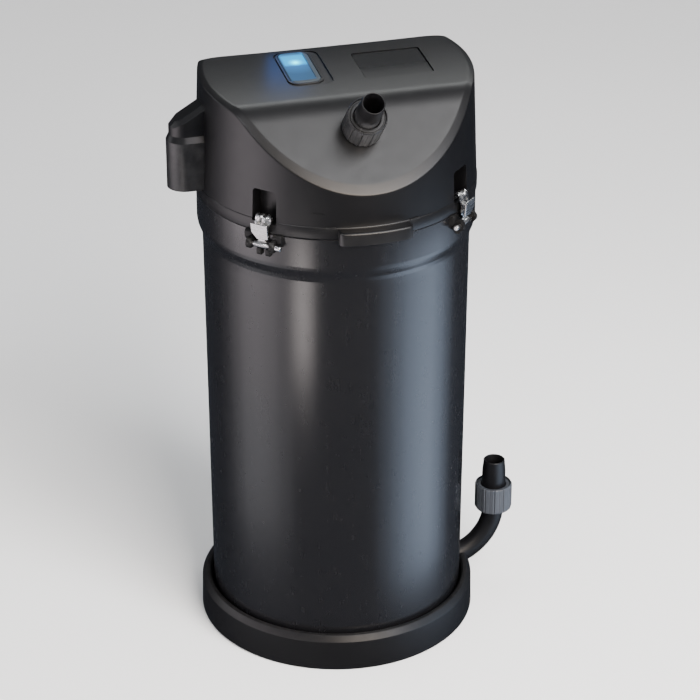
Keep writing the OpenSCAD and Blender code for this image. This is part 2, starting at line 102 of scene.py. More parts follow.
def map_range(nt, val, a, b, c, d, clamp=True):
    m = nt.nodes.new("ShaderNodeMapRange")
    m.clamp = clamp
    nt.links.new(val, m.inputs["Value"])
    m.inputs["From Min"].default_value = a
    m.inputs["From Max"].default_value = b
    m.inputs["To Min"].default_value = c
    m.inputs["To Max"].default_value = d
    return m.outputs["Result"]


def math_node(nt, op, a, b=None):
    m = nt.nodes.new("ShaderNodeMath")
    m.operation = op
    for i, v in enumerate((a, b)):
        if v is None:
            continue
        if isinstance(v, (int, float)):
            m.inputs[i].default_value = v
        else:
            nt.links.new(v, m.inputs[i])
    return m.outputs[0]


def mix_col(nt, fac, a, b, blend="MIX"):
    m = nt.nodes.new("ShaderNodeMix")
    m.data_type = "RGBA"
    m.blend_type = blend
    if isinstance(fac, (int, float)):
        m.inputs[0].default_value = fac
    else:
        nt.links.new(fac, m.inputs[0])
    for sock, v in ((m.inputs[6], a), (m.inputs[7], b)):
        if isinstance(v, (tuple, list, float, int)):
            sock.default_value = rgba(v)
        else:
            nt.links.new(v, sock)
    return m.outputs[2]


def bump(nt, height, strength, distance, prev=None):
    b = nt.nodes.new("ShaderNodeBump")
    b.inputs["Strength"].default_value = strength
    b.inputs["Distance"].default_value = distance
    nt.links.new(height, b.inputs["Height"])
    if prev is not None:
        nt.links.new(prev, b.inputs["Normal"])
    return b.outputs["Normal"]


def edge_fac(nt, lo=0.52, hi=0.6):
    g = nt.nodes.new("ShaderNodeNewGeometry")
    return map_range(nt, g.outputs["Pointiness"], lo, hi, 0.0, 1.0)


def plastic(name, base, rough=0.42, grain=2400, grain_bump=0.12, vary=0.05, lift=1.35, edge=None,
            spec=0.5, coat=0.0, coat_rough=0.1, scratch=0.0, dust=0.0):
    """Moulded plastic: fine grain, uneven gloss, slight tone variation, lighter worn edges."""
    m, nt, b = new_mat(name)
    v = tex_coord(nt)
    big = noise(nt, v, 14, 4, 0.55)
    mid = noise(nt, v, 140, 4, 0.6)
    fine = noise(nt, v, grain, 2, 0.5)
    hi = tuple(min(1, c * lift) for c in base)
    col = mix_col(nt, map_range(nt, big, 0.3, 0.7, 0, 1), base, hi)
    col = mix_col(nt, map_range(nt, mid, 0.35, 0.75, 0, 0.3), col, tuple(c * 0.8 for c in base))
    if edge is not None:
        col = mix_col(nt, math_node(nt, "MULTIPLY", edge_fac(nt), map_range(nt, mid, 0.35, 0.65, 0.25, 1.0)), col, edge)
    if dust > 0:
        g = nt.nodes.new("ShaderNodeNewGeometry")
        sep = nt.nodes.new("ShaderNodeSeparateXYZ")
        nt.links.new(g.outputs["Normal"], sep.inputs[0])
        up = map_range(nt, sep.outputs["Z"], 0.5, 1.0, 0, dust)
        col = mix_col(nt, math_node(nt, "MULTIPLY", up, map_range(nt, noise(nt, v, 320, 5, 0.7), 0.4, 0.75, 0, 1)), col, (0.3, 0.29, 0.27))
    nt.links.new(col, b.inputs["Base Color"])
    r = math_node(nt, "ADD", map_range(nt, mid, 0.3, 0.7, rough - vary, rough + vary),
                  map_range(nt, big, 0.3, 0.7, -vary * 0.5, vary * 0.5))
    if scratch > 0:
        sv = tex_coord(nt, scale=(1, 1, 0.04))
        sc = noise(nt, sv, 1500, 2, 0.5)
        r = math_node(nt, "ADD", r, map_range(nt, sc, 0.6, 0.72, 0, scratch))
    nt.links.new(r, b.inputs["Roughness"])
    n = bump(nt, fine, grain_bump, 0.00012)
    n = bump(nt, mid, 0.015, 0.0004, n)
    nt.links.new(n, b.inputs["Normal"])
    b.inputs["Specular IOR Level"].default_value = spec
    if coat > 0:
        b.inputs["Coat Weight"].default_value = coat
        b.inputs["Coat Roughness"].default_value = coat_rough
    return m


def metal(name, base, rough=0.25, stretch=(1, 1, 1), fine=900, strength=0.15, tarnish=None, aniso=0.0):
    m, nt, b = new_mat(name)
    v = tex_coord(nt, scale=stretch)
    w = tex_coord(nt)
    brush = noise(nt, v, fine, 3, 0.6)
    big = noise(nt, w, 90, 4, 0.6)
    col = mix_col(nt, map_range(nt, brush, 0.35, 0.65, 0, 1), tuple(c * 0.82 for c in base), base)
    if tarnish is not None:
        col = mix_col(nt, map_range(nt, big, 0.52, 0.75, 0, 0.6), col, tarnish)
    nt.links.new(col, b.inputs["Base Color"])
    nt.links.new(map_range(nt, brush, 0.3, 0.7, rough - 0.08, rough + 0.1), b.inputs["Roughness"])
    nt.links.new(bump(nt, brush, strength, 0.0001), b.inputs["Normal"])
    b.inputs["Metallic"].default_value = 1.0
    if aniso:
        b.inputs["Anisotropic"].default_value = aniso
    return m


def granular(name, base, dark, scale=180, strength=0.8, dist=0.002, rough=0.9):
    """Porous or granular media: cells with dark gaps between them."""
    m, nt, b = new_mat(name)
    v = tex_coord(nt)
    vo = nt.nodes.new("ShaderNodeTexVoronoi")
    vo.inputs["Scale"].default_value = scale
    nt.links.new(v, vo.inputs["Vector"])
    cell = vo.outputs["Distance"]
    n = noise(nt, v, scale * 4, 4, 0.6)
    col = mix_col(nt, map_range(nt, cell, 0.15, 0.6, 0, 1), base, dark)
    col = mix_col(nt, map_range(nt, n, 0.4, 0.7, 0, 0.4), col, tuple(c * 0.6 for c in base))
    nt.links.new(col, b.inputs["Base Color"])
    nt.links.new(map_range(nt, n, 0.3, 0.7, rough - 0.1, min(1.0, rough + 0.08)), b.inputs["Roughness"])
    inv = math_node(nt, "SUBTRACT", 1.0, cell)
    nrm = bump(nt, inv, strength, dist)
    nrm = bump(nt, n, 0.4, 0.0006, nrm)
    nt.links.new(nrm, b.inputs["Normal"])
    return m


M = {}
M["head_black"] = plastic("satin_black_head", (0.0036, 0.0036, 0.0044), rough=0.36, grain=2600, grain_bump=0.16,
                          vary=0.02, lift=1.12, edge=(0.020, 0.020, 0.021), spec=0.5)
M["base_black"] = plastic("satin_black_base", (0.0058, 0.0058, 0.0066), rough=0.40, grain=2200, grain_bump=0.14,
                          vary=0.04, lift=1.3, edge=(0.022, 0.022, 0.024), dust=0.05, spec=0.26)
M["union_black"] = plastic("satin_black_union", (0.0055, 0.0055, 0.0065), rough=0.38, grain=2600, grain_bump=0.10,
                           vary=0.05, lift=1.3, edge=(0.045, 0.045, 0.047), spec=0.38)
M["lug_black"] = plastic("satin_black_lug", (0.0030, 0.0030, 0.0034), rough=0.40, grain=2400, grain_bump=0.12,
                         vary=0.04, lift=1.2, edge=(0.03, 0.03, 0.03), spec=0.2)
M["nut_grey"] = plastic("satin_grey_nut", (0.050, 0.056, 0.067), rough=0.46, grain=2400, grain_bump=0.12,
                        vary=0.05, lift=1.15, edge=(0.12, 0.128, 0.14), spec=0.3)
# darker copy of the grey nut material for the outlet nut: painted shade, since the two nuts are the same grey
M["nut_upper"] = plastic("satin_grey_nut_upper", (0.015, 0.0155, 0.017), rough=0.38, grain=2400, grain_bump=0.12,
                         vary=0.05, lift=1.15, edge=(0.045, 0.045, 0.047), spec=0.3)
M["screen_black"] = plastic("screen_black", (0.03, 0.03, 0.033), rough=0.45, edge=(0.08, 0.08, 0.085))
M["chamber_black"] = plastic("chamber_black", (0.028, 0.028, 0.031), rough=0.30, edge=(0.07, 0.07, 0.075))
M["seal_rubber"] = plastic("seal_rubber", (0.012, 0.012, 0.012), rough=0.62, grain=1500, grain_bump=0.25, edge=(0.03, 0.03, 0.03))
M["impeller_orange"] = plastic("impeller_orange", (0.62, 0.20, 0.03), rough=0.35, edge=(0.8, 0.4, 0.15))
M["board_green"] = plastic("board_green", (0.02, 0.13, 0.045), rough=0.3, grain=900, grain_bump=0.1)
M["shaft_ceramic"] = plastic("shaft_ceramic", (0.78, 0.76, 0.70), rough=0.15, grain=3000, grain_bump=0.03)
M["ceramic"] = granular("ceramic_rings", (0.70, 0.62, 0.50), (0.10, 0.08, 0.06), 95)
M["bio_brown"] = granular("bio_granules", (0.38, 0.22, 0.13), (0.05, 0.03, 0.02), 170)
M["foam_blue"] = granular("foam_coarse", (0.05, 0.20, 0.42), (0.01, 0.04, 0.10), 420, 0.6, 0.001)
M["floss_white"] = granular("floss_fine", (0.78, 0.78, 0.75), (0.45, 0.45, 0.42), 700, 0.4, 0.0006)
M["spring_steel"] = metal("spring_steel", (0.78, 0.78, 0.78), 0.24, (0.07, 0.07, 1), 1700, 0.05, (0.66, 0.65, 0.63))
M["pin_steel"] = metal("pin_steel", (0.90, 0.90, 0.91), 0.20, (1, 1, 1), 1200, 0.03)
M["screw_steel"] = metal("screw_steel", (0.70, 0.70, 0.70), 0.28, (1, 1, 1), 1500, 0.12, (0.4, 0.39, 0.37))
M["core_steel"] = metal("core_laminated", (0.36, 0.35, 0.33), 0.45, (0.02, 0.02, 1), 1700, 0.5)
M["winding"] = metal("winding", (0.62, 0.26, 0.09), 0.35, (1, 0.02, 0.02), 1100, 0.6)
M["magnet_grey"] = plastic("magnet_grey", (0.06, 0.06, 0.065), rough=0.5, grain=1200, grain_bump=0.2)


def shell_material():
    """Polished brown-black canister wall: a clear gloss over a tinted body, fine upright drawing
    lines from the mould and a little uneven gloss."""
    m, nt, b = new_mat("polished_shell")
    v = tex_coord(nt)
    big = noise(nt, v, 9, 4, 0.55)
    mid = noise(nt, v, 120, 4, 0.6)
    sv = tex_coord(nt, scale=(1, 1, 0.012))
    lines = noise(nt, sv, 620, 3, 0.6)
    col = mix_col(nt, map_range(nt, big, 0.3, 0.7, 0, 1), (0.0064, 0.0064, 0.0076), (0.0078, 0.0077, 0.0088))
    col = mix_col(nt, map_range(nt, lines, 0.55, 0.75, 0, 0.12), col, (0.014, 0.0135, 0.0145))
    nt.links.new(col, b.inputs["Base Color"])
    r = map_range(nt, mid, 0.3, 0.7, 0.256, 0.276)
    r = math_node(nt, "ADD", r, map_range(nt, lines, 0.4, 0.7, -0.004, 0.006))
    nt.links.new(r, b.inputs["Roughness"])
    nrm = bump(nt, lines, 0.007, 0.0002)
    nt.links.new(nrm, b.inputs["Normal"])
    b.inputs["Specular IOR Level"].default_value = 0.62
    b.inputs["Coat Weight"].default_value = 0.45
    b.inputs["Coat Roughness"].default_value = 0.20
    return m


M["shell_black"] = shell_material()


# ----------------------------------------------------------- shared dimensions
FACE_A = rad(44.33)
FM, FC = math.tan(FACE_A), 400.29
TOP_A = rad(5.12)
TM, TC = math.tan(TOP_A), 364.0
REAR_C = TC + TM * 28.95 + 28.95
RIM_R = 83.9
OUT_Y = -54.9
OUT_Z = FC + FM * OUT_Y
INLET = (104.4, 0.0, 50.2)
CLIPS = {"front_right": 45, "front_left": -45, "rear_left": -135, "rear_right": 135}

T_TOP = Matrix.Translation((-0.7, -2.35, TC - 2.35 * TM)) @ Matrix.Rotation(TOP_A, 4, "X")
T_FACE = Matrix.Translation((0, OUT_Y, OUT_Z)) @ Matrix.Rotation(FACE_A, 4, "X")
T_INLET = Matrix.Translation(INLET)


def t_around(a):
    """Local +X outwards, +Y along the rim, at angle a from the front towards the right."""
    return Matrix.Rotation(rad(a - 90), 4, "Z")


# -------------------------------------------------------------- mesh utilities
def make(name, verts, faces, body, mat, stands_for=(), angle=32, mtx=None, weld=1e-4):
    """Mesh object from millimetre vertices, smooth with sharp edges over angle."""
    bm = bmesh.new()
    vs = [bm.verts.new(p) for p in verts]
    for f in faces:
        if len(set(f)) >= 3:
            try:
                bm.faces.new([vs[i] for i in f])
            except ValueError:
                pass
    bmesh.ops.remove_doubles(bm, verts=bm.verts, dist=weld)
    return finish_bm(name, bm, body, mat, stands_for, angle, mtx)


def finish_bm(name, bm, body, mat, stands_for=(), angle=32, mtx=None):
    if mtx is not None:
        bmesh.ops.transform(bm, matrix=mtx, verts=bm.verts)
    bmesh.ops.recalc_face_normals(bm, faces=bm.faces)
    bmesh.ops.scale(bm, vec=(MM, MM, MM), verts=bm.verts)
    me = bpy.data.meshes.new(name)
    bm.to_mesh(me)
    bm.free()
    ob = bpy.data.objects.new(name, me)
    bpy.context.scene.collection.objects.link(ob)
    if mat is not None:
        me.materials.append(mat)
    shade(ob, angle)
    if body is not None:
        if stands_for:
            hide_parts(*stands_for)
        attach(ob, body)
    return ob


def shade(ob, angle=32):
    me = ob.data
    me.polygons.foreach_set("use_smooth", [True] * len(me.polygons))
    me.set_sharp_from_angle(angle=rad(angle))
    me.update()
    # broad flat end faces keep their own normal, so that no gradient runs over them
    for p in ob.data.polygons:
        if len(p.vertices) > 6 and p.area > 25.0 * (MM * MM if max(ob.dimensions) < 2 else 1.0):
            p.use_smooth = False


def arc_corner(a, b, c, r, k=4):
    """Points rounding corner b between a and c with a fillet of radius r."""
    a, b, c = (np.array(p, float) for p in (a, b, c))
    u, v = a - b, c - b
    lu, lv = np.linalg.norm(u), np.linalg.norm(v)
    u, v = u / lu, v / lv
    ang = math.acos(max(-1, min(1, float(u @ v))))
    if ang > math.pi - 1e-3 or r <= 0:
        return [tuple(b)]
    t = min(r / math.tan(ang / 2), lu * 0.48, lv * 0.48)
    r = t * math.tan(ang / 2)
    cdir = (u + v) / np.linalg.norm(u + v)
    cen = b + cdir * (r / math.sin(ang / 2))
    p0, p1 = b + u * t, b + v * t
    a0 = math.atan2(*(p0 - cen)[::-1])
    a1 = math.atan2(*(p1 - cen)[::-1])
    d = (a1 - a0 + math.pi) % (2 * math.pi) - math.pi
    return [tuple(cen + r * np.array([math.cos(a0 + d * i / k), math.sin(a0 + d * i / k)])) for i in range(k + 1)]


def rounded(pts, closed=True, k=4):
    """pts: (x, y, radius). Returns a polyline with the corners rounded."""
    out = []
    n = len(pts)
    for i, p in enumerate(pts):
        if not closed and i in (0, n - 1):
            out.append((p[0], p[1]))
            continue
        out += arc_corner(pts[i - 1][:2], p[:2], pts[(i + 1) % n][:2], p[2] if len(p) > 2 else 0, k)
    return out


def lathe(profile, n=192, closed=True, wobble=None):
    """Revolves (r, z) round Z. Returns verts, faces."""
    m = len(profile)
    verts, faces = [], []
    for i in range(n):
        a = 2 * math.pi * i / n
        for r, z in profile:
            verts.append((r * math.cos(a), r * math.sin(a), z))
    last = m if closed else m - 1
    for i in range(n):
        j = (i + 1) % n
        for k in range(last):
            l = (k + 1) % m
            if profile[k][0] < 1e-6 and profile[l][0] < 1e-6:
                continue
            if profile[k][0] < 1e-6:
                faces.append((i * m + k, j * m + l, i * m + l))
            elif profile[l][0] < 1e-6:
                faces.append((i * m + k, j * m + k, i * m + l))
            else:
                faces.append((i * m + k, j * m + k, j * m + l, i * m + l))
    return verts, faces


def lathe_obj(name, pts, body, mat, slot, stands_for, n=192, k=4, mtx=None, angle=32, closed=True):
    v, f = lathe(rounded(pts, closed, k), n, closed)
    return make(name, v, f, body, mat, stands_for, angle, mtx)


def prism_bm(outline, z0, z1, bevel_top=0.0, bevel_bottom=0.0, segs=3, bevel_sides=False):
    """Extrudes a closed outline (x, y) with rounded rims."""
    bm = bmesh.new()
    lo = [bm.verts.new((x, y, z0)) for x, y in outline]
    hi = [bm.verts.new((x, y, z1)) for x, y in outline]
    bm.faces.new(lo[::-1])
    bm.faces.new(hi)
    n = len(outline)
    for i in range(n):
        bm.faces.new((lo[i], lo[(i + 1) % n], hi[(i + 1) % n], hi[i]))
    bm.normal_update()
    if bevel_top > 0:
        es = [e for e in bm.edges if all(abs(v.co.z - z1) < 1e-6 for v in e.verts)]
        bmesh.ops.bevel(bm, geom=es, offset=bevel_top, segments=segs, profile=0.5, affect="EDGES", clamp_overlap=True)
    if bevel_bottom > 0:
        es = [e for e in bm.edges if all(abs(v.co.z - z0) < 1e-6 for v in e.verts)]
        bmesh.ops.bevel(bm, geom=es, offset=bevel_bottom, segments=segs, profile=0.5, affect="EDGES", clamp_overlap=True)
    return bm


def bm_join(dst, src, mtx=None):
    """Adds src's geometry to dst and frees src."""
    if mtx is not None:
        bmesh.ops.transform(src, matrix=mtx, verts=src.verts)
        bmesh.ops.recalc_face_normals(src, faces=src.faces)
    me = bpy.data.meshes.new("tmp_join")
    src.to_mesh(me)
    src.free()
    dst.from_mesh(me)
    bpy.data.meshes.remove(me)


def rect(x0, y0, x1, y1, r, k=6):
    return rounded([(x0, y0, r), (x1, y0, r), (x1, y1, r), (x0, y1, r)], True, k)


def temp_obj(bm, mtx=None):
    if mtx is not None:
        bmesh.ops.transform(bm, matrix=mtx, verts=bm.verts)
    bmesh.ops.recalc_face_normals(bm, faces=bm.faces)
    me = bpy.data.meshes.new("tmp_cut")
    bm.to_mesh(me)
    bm.free()
    ob = bpy.data.objects.new("tmp_cut", me)
    bpy.context.scene.collection.objects.link(ob)
    return ob


def boolean(ob, cutters, op="DIFFERENCE"):
    """Applies each cutter bmesh (in the object's own units) to ob and removes it."""
    for bm, mtx in cutters:
        c = temp_obj(bm, mtx)
        md = ob.modifiers.new("cut", "BOOLEAN")
        md.operation = op
        md.object = c
        md.solver = "EXACT"
        dg = bpy.context.evaluated_depsgraph_get()
        me = bpy.data.meshes.new_from_object(ob.evaluated_get(dg))
        old = ob.data
        ob.modifiers.clear()
        ob.data = me
        bpy.data.meshes.remove(old)
        cm = c.data
        bpy.data.objects.remove(c)
        bpy.data.meshes.remove(cm)
    return ob


def bevelled(ob, width, segs=2, angle=30):
    """Rounds an object's sharp edges and applies it."""
    md = ob.modifiers.new("bevel", "BEVEL")
    md.width = width
    md.segments = segs
    md.limit_method = "ANGLE"
    md.angle_limit = rad(angle)
    md.harden_normals = False
    dg = bpy.context.evaluated_depsgraph_get()
    me = bpy.data.meshes.new_from_object(ob.evaluated_get(dg))
    old = ob.data
    ob.modifiers.clear()
    ob.data = me
    bpy.data.meshes.remove(old)
    return ob


def raw_obj(name, bm):
    """Millimetre object with nothing attached, for booleans."""
    bmesh.ops.recalc_face_normals(bm, faces=bm.faces)
    me = bpy.data.meshes.new(name)
    bm.to_mesh(me)
    bm.free()
    ob = bpy.data.objects.new(name, me)
    bpy.context.scene.collection.objects.link(ob)
    return ob


def settle(ob, body, mat, stands_for=(), angle=32):
    """Turns a millimetre object into a finished piece."""
    ob.data.transform(Matrix.Scale(MM, 4))
    ob.data.materials.clear()
    ob.data.materials.append(mat)
    shade(ob, angle)
    if stands_for:
        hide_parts(*stands_for)
    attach(ob, body)
    return ob


def smin(a, b, k):
    h = max(k - abs(a - b), 0.0) / k
    return min(a, b) - h * h * k * 0.25


# --------------------------------------------------------------- head housing
def wall_r(z):
    return RIM_R - 0.25 - 2.335 * (z - 296) / 59


def roof_z(y, d=0.0):
    face = FC + FM * y - d / math.cos(FACE_A)
    top = TC + TM * y - d / math.cos(TOP_A) + 0.5 - ((y + 5) / 35.0) ** 2
    return smin(face, top, 5.7)


def side_r(c, z, d=0.0):
    """Radius of the head's flank in a direction whose y component is c, at height z."""
    r = wall_r(z) - d
    if c > 0.02:
        r = smin(r, (REAR_C - d * 1.41421 - z) / c, 10.0)
    return r


def head_section(th, outer=True):
    s, c = math.sin(th), -math.cos(th)
    d = 0.0 if outer else 3.0
    lo, hi = 299.0, 372.0
    for _ in range(40):
        mid = (lo + hi) / 2
        if roof_z(side_r(c, mid, d) * c, d) > mid:
            lo = mid
        else:
            hi = mid
    zm = (lo + hi) / 2
    rm = side_r(c, zm, d)
    if not outer:
        pts = [(80.9, 291.0), (80.9, 296.2)]
        for i in range(1, 15):
            z = 296.2 + (zm - 296.2) * i / 14
            pts.append((side_r(c, z, d), z))
        for i in range(1, 20):
            r = rm * (1 - i / 19.0)
            pts.append((r, roof_z(r * c, d)))
        return pts
    slope = (roof_z(rm * c + 0.05) - roof_z(rm * c - 0.05)) / 0.1
    drop = 1.48 * math.sqrt(1 + slope * slope)
    zb = zm - drop
    B = np.array([side_r(c, zb), zb])
    ri = rm - 3.48
    C = np.array([ri, roof_z(ri * c)])
    u = np.array([side_r(c, zb - 1), zb - 1]) - B
    u /= np.linalg.norm(u)
    w = np.array([ri - 1, roof_z((ri - 1) * c)]) - C
    w /= np.linalg.norm(w)
    bc = (C - B) / np.linalg.norm(C - B)
    q = 0.75
    pts = [(80.9, 291.0), (83.4, 291.0), (83.65, 291.1), (83.82, 291.3), (RIM_R, 291.6), (RIM_R, 298.15),
           (RIM_R - 0.1, 298.4), (wall_r(298.7) + 0.02, 298.62), (wall_r(299.0), 299.1)]
    z_end = zb - q
    for i in range(1, 31):
        z = 299.1 + (z_end - 299.1) * i / 30
        pts.append((side_r(c, z), z))
    def quad(P, du, dw):
        a, b = P + du * q, P + dw * q
        return [tuple(a * (1 - t) ** 2 + P * 2 * t * (1 - t) + b * t * t) for t in (0.25, 0.5, 0.75, 1.0)]
    pts += quad(B, u, bc)
    a = C - bc * q
    pts.append(tuple(a))
    pts += quad(C, -bc, w)
    r0 = pts[-1][0]
    for i in range(1, 57):
        r = r0 * (1 - i / 56.0)
        pts.append((r, roof_z(r * c)))
    return pts


def section_mesh(n, fn):
    verts, faces = [], []
    m = None
    for i in range(n):
        th = 2 * math.pi * i / n
        sec = fn(th)
        m = len(sec)
        for r, z in sec:
            verts.append((r * math.sin(th), -r * math.cos(th), z))
    for i in range(n):
        j = (i + 1) % n
        for k in range(m - 1):
            faces.append((i * m + k, j * m + k, j * m + k + 1, i * m + k + 1))
    return verts, faces


def build_head():
    n = 480
    v1, f1 = section_mesh(n, lambda t: head_section(t, True))
    v2, f2 = section_mesh(n, lambda t: head_section(t, False))
    off = len(v1)
    bm = bmesh.new()
    vs = [bm.verts.new(p) for p in v1 + v2]
    for f in f1:
        bm.faces.new([vs[i] for i in f])
    for f in f2:
        bm.faces.new([vs[i + off] for i in reversed(f)])
    bmesh.ops.remove_doubles(bm, verts=bm.verts, dist=1e-3)
    bad = [f for f in bm.faces if f.calc_area() < 1e-9]
    if bad:
        bmesh.ops.delete(bm, geom=bad, context="FACES_ONLY")
    ob = raw_obj("head_housing_shell", bm)
    # material behind the clip recesses
    boxes, pockets = [], []
    for a in CLIPS.values():
        t = t_around(a)
        boxes.append((prism_bm([(71.5, -10.4), (82.0, -10.4), (82.0, 10.4), (71.5, 10.4)], 296.0, 319.4), t))
        # outline in (tangent, height) extruded along the radius
        o = rounded([(-8, 297.0, 0.5), (8, 297.0, 0.5), (7.8, 317.0, 2.4), (-7.8, 317.0, 2.4)], True, 5)
        c = prism_bm(o, -95.0, -74.0)
        pockets.append((c, t @ Matrix(((0, 0, -1, 0), (1, 0, 0, 0), (0, 1, 0, 0), (0, 0, 0, 1)))))
    boolean(ob, boxes, "UNION")
    boolean(ob, pockets, "DIFFERENCE")
    # recess round the button, and the window's seat
    cuts = [
        (prism_bm(rect(-32.4, -19.4, -5.2, 26.2, 6.0, 8), -1.15, 6), T_TOP),
        (prism_bm(rect(13.1, -17.6, 55.1, 16.2, 2.2, 6), -1.3, 6), T_TOP),
    ]
    # narrow mark on the rim, left of the tab
    o = rounded([(-3.4, 306.7, 0.3), (3.4, 306.7, 0.3), (3.4, 307.9, 0.3), (-3.4, 307.9, 0.3)], True, 3)
    cuts.append((prism_bm(o, -90.0, -82.85), t_around(-22.5) @ Matrix(((0, 0, -1, 0), (1, 0, 0, 0), (0, 1, 0, 0), (0, 0, 0, 1)))))
    boolean(ob, cuts, "DIFFERENCE")
    # grip tab and the two short nibs on the rim line
    bm = bmesh.new()
    bm.from_mesh(ob.data)
    arc_o = [(91 * math.sin(rad(a)), -91 * math.cos(rad(a))) for a in np.linspace(-14.1, 14.1, 25)]
    arc_i = [(83.6 * math.sin(rad(a)), -83.6 * math.cos(rad(a))) for a in np.linspace(14.6, -14.6, 25)]
    o = [(p[0], p[1], 0) for p in arc_o] + [(p[0], p[1], 0) for p in arc_i]
    o[0] = (o[0][0], o[0][1], 3.4)
    o[24] = (o[24][0], o[24][1], 3.4)
    plan = []
    # rounded outer corners
    L0, R0 = np.array(arc_o[0]), np.array(arc_o[-1])
    li, ri = np.array(arc_i[-1]), np.array(arc_i[0])
    plan += arc_corner(li, L0, arc_o[5], 3.2, 6)
    plan += [p for p in arc_o[3:-3]]
    plan += arc_corner(arc_o[-6], R0, ri, 3.2, 6)
    plan += arc_i
    bm_join(bm, prism_bm(plan, 290.2, 298.0, 1.3, 0.9, 4))
    for a0, a1 in ((-19.4, -15.5), (15.0, 19.3)):
        pl = [((84.25) * math.sin(rad(a)), -(84.25) * math.cos(rad(a))) for a in np.linspace(a0, a1, 7)]
        pl += [((83.0) * math.sin(rad(a)), -(83.0) * math.cos(rad(a))) for a in np.linspace(a1, a0, 7)]
        bm_join(bm, prism_bm(pl, 297.9, 299.0, 0.25, 0.0, 2))
    bm.to_mesh(ob.data)
    bm.free()
    return settle(ob, "head", M["head_black"], ("head_housing",), 26)


build_head()


# ------------------------------------------------------------ canister and base
def can_r(z):
    return 80 - 1.85 * (258 - z) / 244


def build_canister():
    pts = [(0, 6, 0), (71, 6, 1.5), (74.6, 7, 2.5), (77.2, 9.6, 3.0), (can_r(14), 14, 3.0)]
    pts += [(can_r(z), z, 0) for z in (60, 110, 160, 210, 250)]
    pts += [(can_r(258), 258, 3), (80.15, 262.2, 2), (80.9, 265.2, 3.0), (81.9, 267.6, 3.0), (82.8, 270, 3.0),
            (83.2, 272.4, 2.0), (83.2, 290.0, 0), (83.2, 290.6, 0.5), (77.2, 290.6, 0.5), (77.2, 268, 3),
            (76.9, 262, 3), (can_r(14) - 2.8, 14, 3), (73.4, 10.6, 2), (71, 9, 2), (0, 9, 0)]
    v, f = lathe(rounded(pts, True, 5), 256, True)
    bm = bmesh.new()
    vs = [bm.verts.new(p) for p in v]
    for q in f:
        if len(set(q)) >= 3:
            bm.faces.new([vs[i] for i in q])
    bmesh.ops.remove_doubles(bm, verts=bm.verts, dist=1e-3)
    return finish_bm("canister_wall", bm, "canister", M["shell_black"], ("canister_shell",), 30)


build_canister()


SIDE_VIEW = Matrix(((1, 0, 0, 0), (0, 0, -1, 0), (0, 1, 0, 0), (0, 0, 0, 1)))


def clip_side(a):
    """Side of a clip that its pin's head is on: the one nearer the front or rear centre."""
    return 1 if math.sin(rad(2 * a)) < 0 else -1


def t_side(a):
    return t_around(a) @ Matrix.Scale(clip_side(a), 4, (0, 1, 0))


def build_lugs():
    """Pivot blocks with the ears that hold the pins, and the little feet under them."""
    bm = bmesh.new()
    for a in CLIPS.values():
        t = t_around(a)
        for s in (-1, 1):
            # side views (radius, z) extruded along the rim
            o = rounded([(80.8, 283.2, 0), (83.2, 284.2, 0.8), (85.2, 286.6, 0.8), (85.2, 290.0, 0.6), (84.2, 291.2, 0.5), (80.8, 291.2, 0)], True, 5)
            c = prism_bm(o, -2.95, 2.95, 0.3, 0.3, 2)
            bm_join(bm, c, t @ Matrix.Translation((0, s * 9.25, 0)) @ SIDE_VIEW)
            o = [(82.0, 281.1), (85.3, 281.1)] + [(86.7 + 3.4 * math.cos(q), 284.5 + 3.4 * math.sin(q)) for q in np.linspace(rad(-112), rad(86), 20)] + [(82.0, 287.9)]
            c = prism_bm(o, -1.25, 1.25, 0.3, 0.3, 2)
            bm_join(bm, c, t @ Matrix.Translation((0, s * 7.55, 0)) @ SIDE_VIEW)
            o = rounded([(82.0, 276.8, 0.2), (84.6, 276.8, 0.8), (85.4, 277.8, 0.5), (85.4, 281.2, 0.2), (82.0, 281.2, 0.2)], True, 4)
            c = prism_bm(o, -1.4, 1.4, 0.25, 0.25, 2)
            bm_join(bm, c, t @ Matrix.Translation((0, -2.8 if s < 0 else 3.0, 0)) @ SIDE_VIEW)
    return finish_bm("clip_lugs", bm, "canister", M["lug_black"], (), 30)


build_lugs()


def build_base():
    pts = [(0, 0, 0), (84.8, 0, 0.3), (86, 1.2, 1.0), (85.6, 20.0, 1.2), (82.7, 23.7, 1.2), (80.7, 23.7, 0.5), (79.4, 22.5, 0.8),
           (79.0, 9, 2), (76, 6, 1.5), (0, 6, 0)]
    v, f = lathe(rounded(pts, True, 5), 256, True)
    bm = bmesh.new()
    vs = [bm.verts.new(p) for p in v]
    for q in f:
        bm.faces.new([vs[i] for i in q])
    bmesh.ops.remove_doubles(bm, verts=bm.verts, dist=1e-3)
    ob = raw_obj("base_dish_ring", bm)
    o = [(7.8 * math.cos(a), 18.8 + 7.8 * math.sin(a)) for a in np.linspace(-math.pi, 0, 25)] + [(8.4, 30), (-8.4, 30)]
    m = Matrix(((0, 0, 1, 0), (1, 0, 0, 0), (0, 1, 0, 0), (0, 0, 0, 1)))
    boolean(ob, [(prism_bm(o, 76.0, 96.0), m)])
    return settle(ob, "canister", M["base_black"], ("base_dish",), 30)


build_base()


# ----------------------------------------------------------------------- unions
def build_barb(name, node, t, body):
    pts = [(5.4, 8, 0.2), (9.3, 8, 0.3), (9.3, 11.6, 0.4), (7.7, 11.6, 0.4), (7.6, 14.0, 1.0),
           (7.55, 20.0, 3.0), (7.5, 26.6, 2.5), (6.79, 34.6, 0.25), (6.4, 34.98, 0.2), (6.15, 34.98, 0.15), (5.95, 34.2, 0.5), (5.4, 31.0, 1.0)]
    v, f = lathe(rounded(pts, True, 4), 96, True)
    return make(name, v, f, body, M["union_black"], (node,), 32, t)


build_barb("outlet_barb", "outlet_hose_barb", T_FACE, "head")
build_barb("inlet_barb", "inlet_hose_barb", T_INLET, "canister")


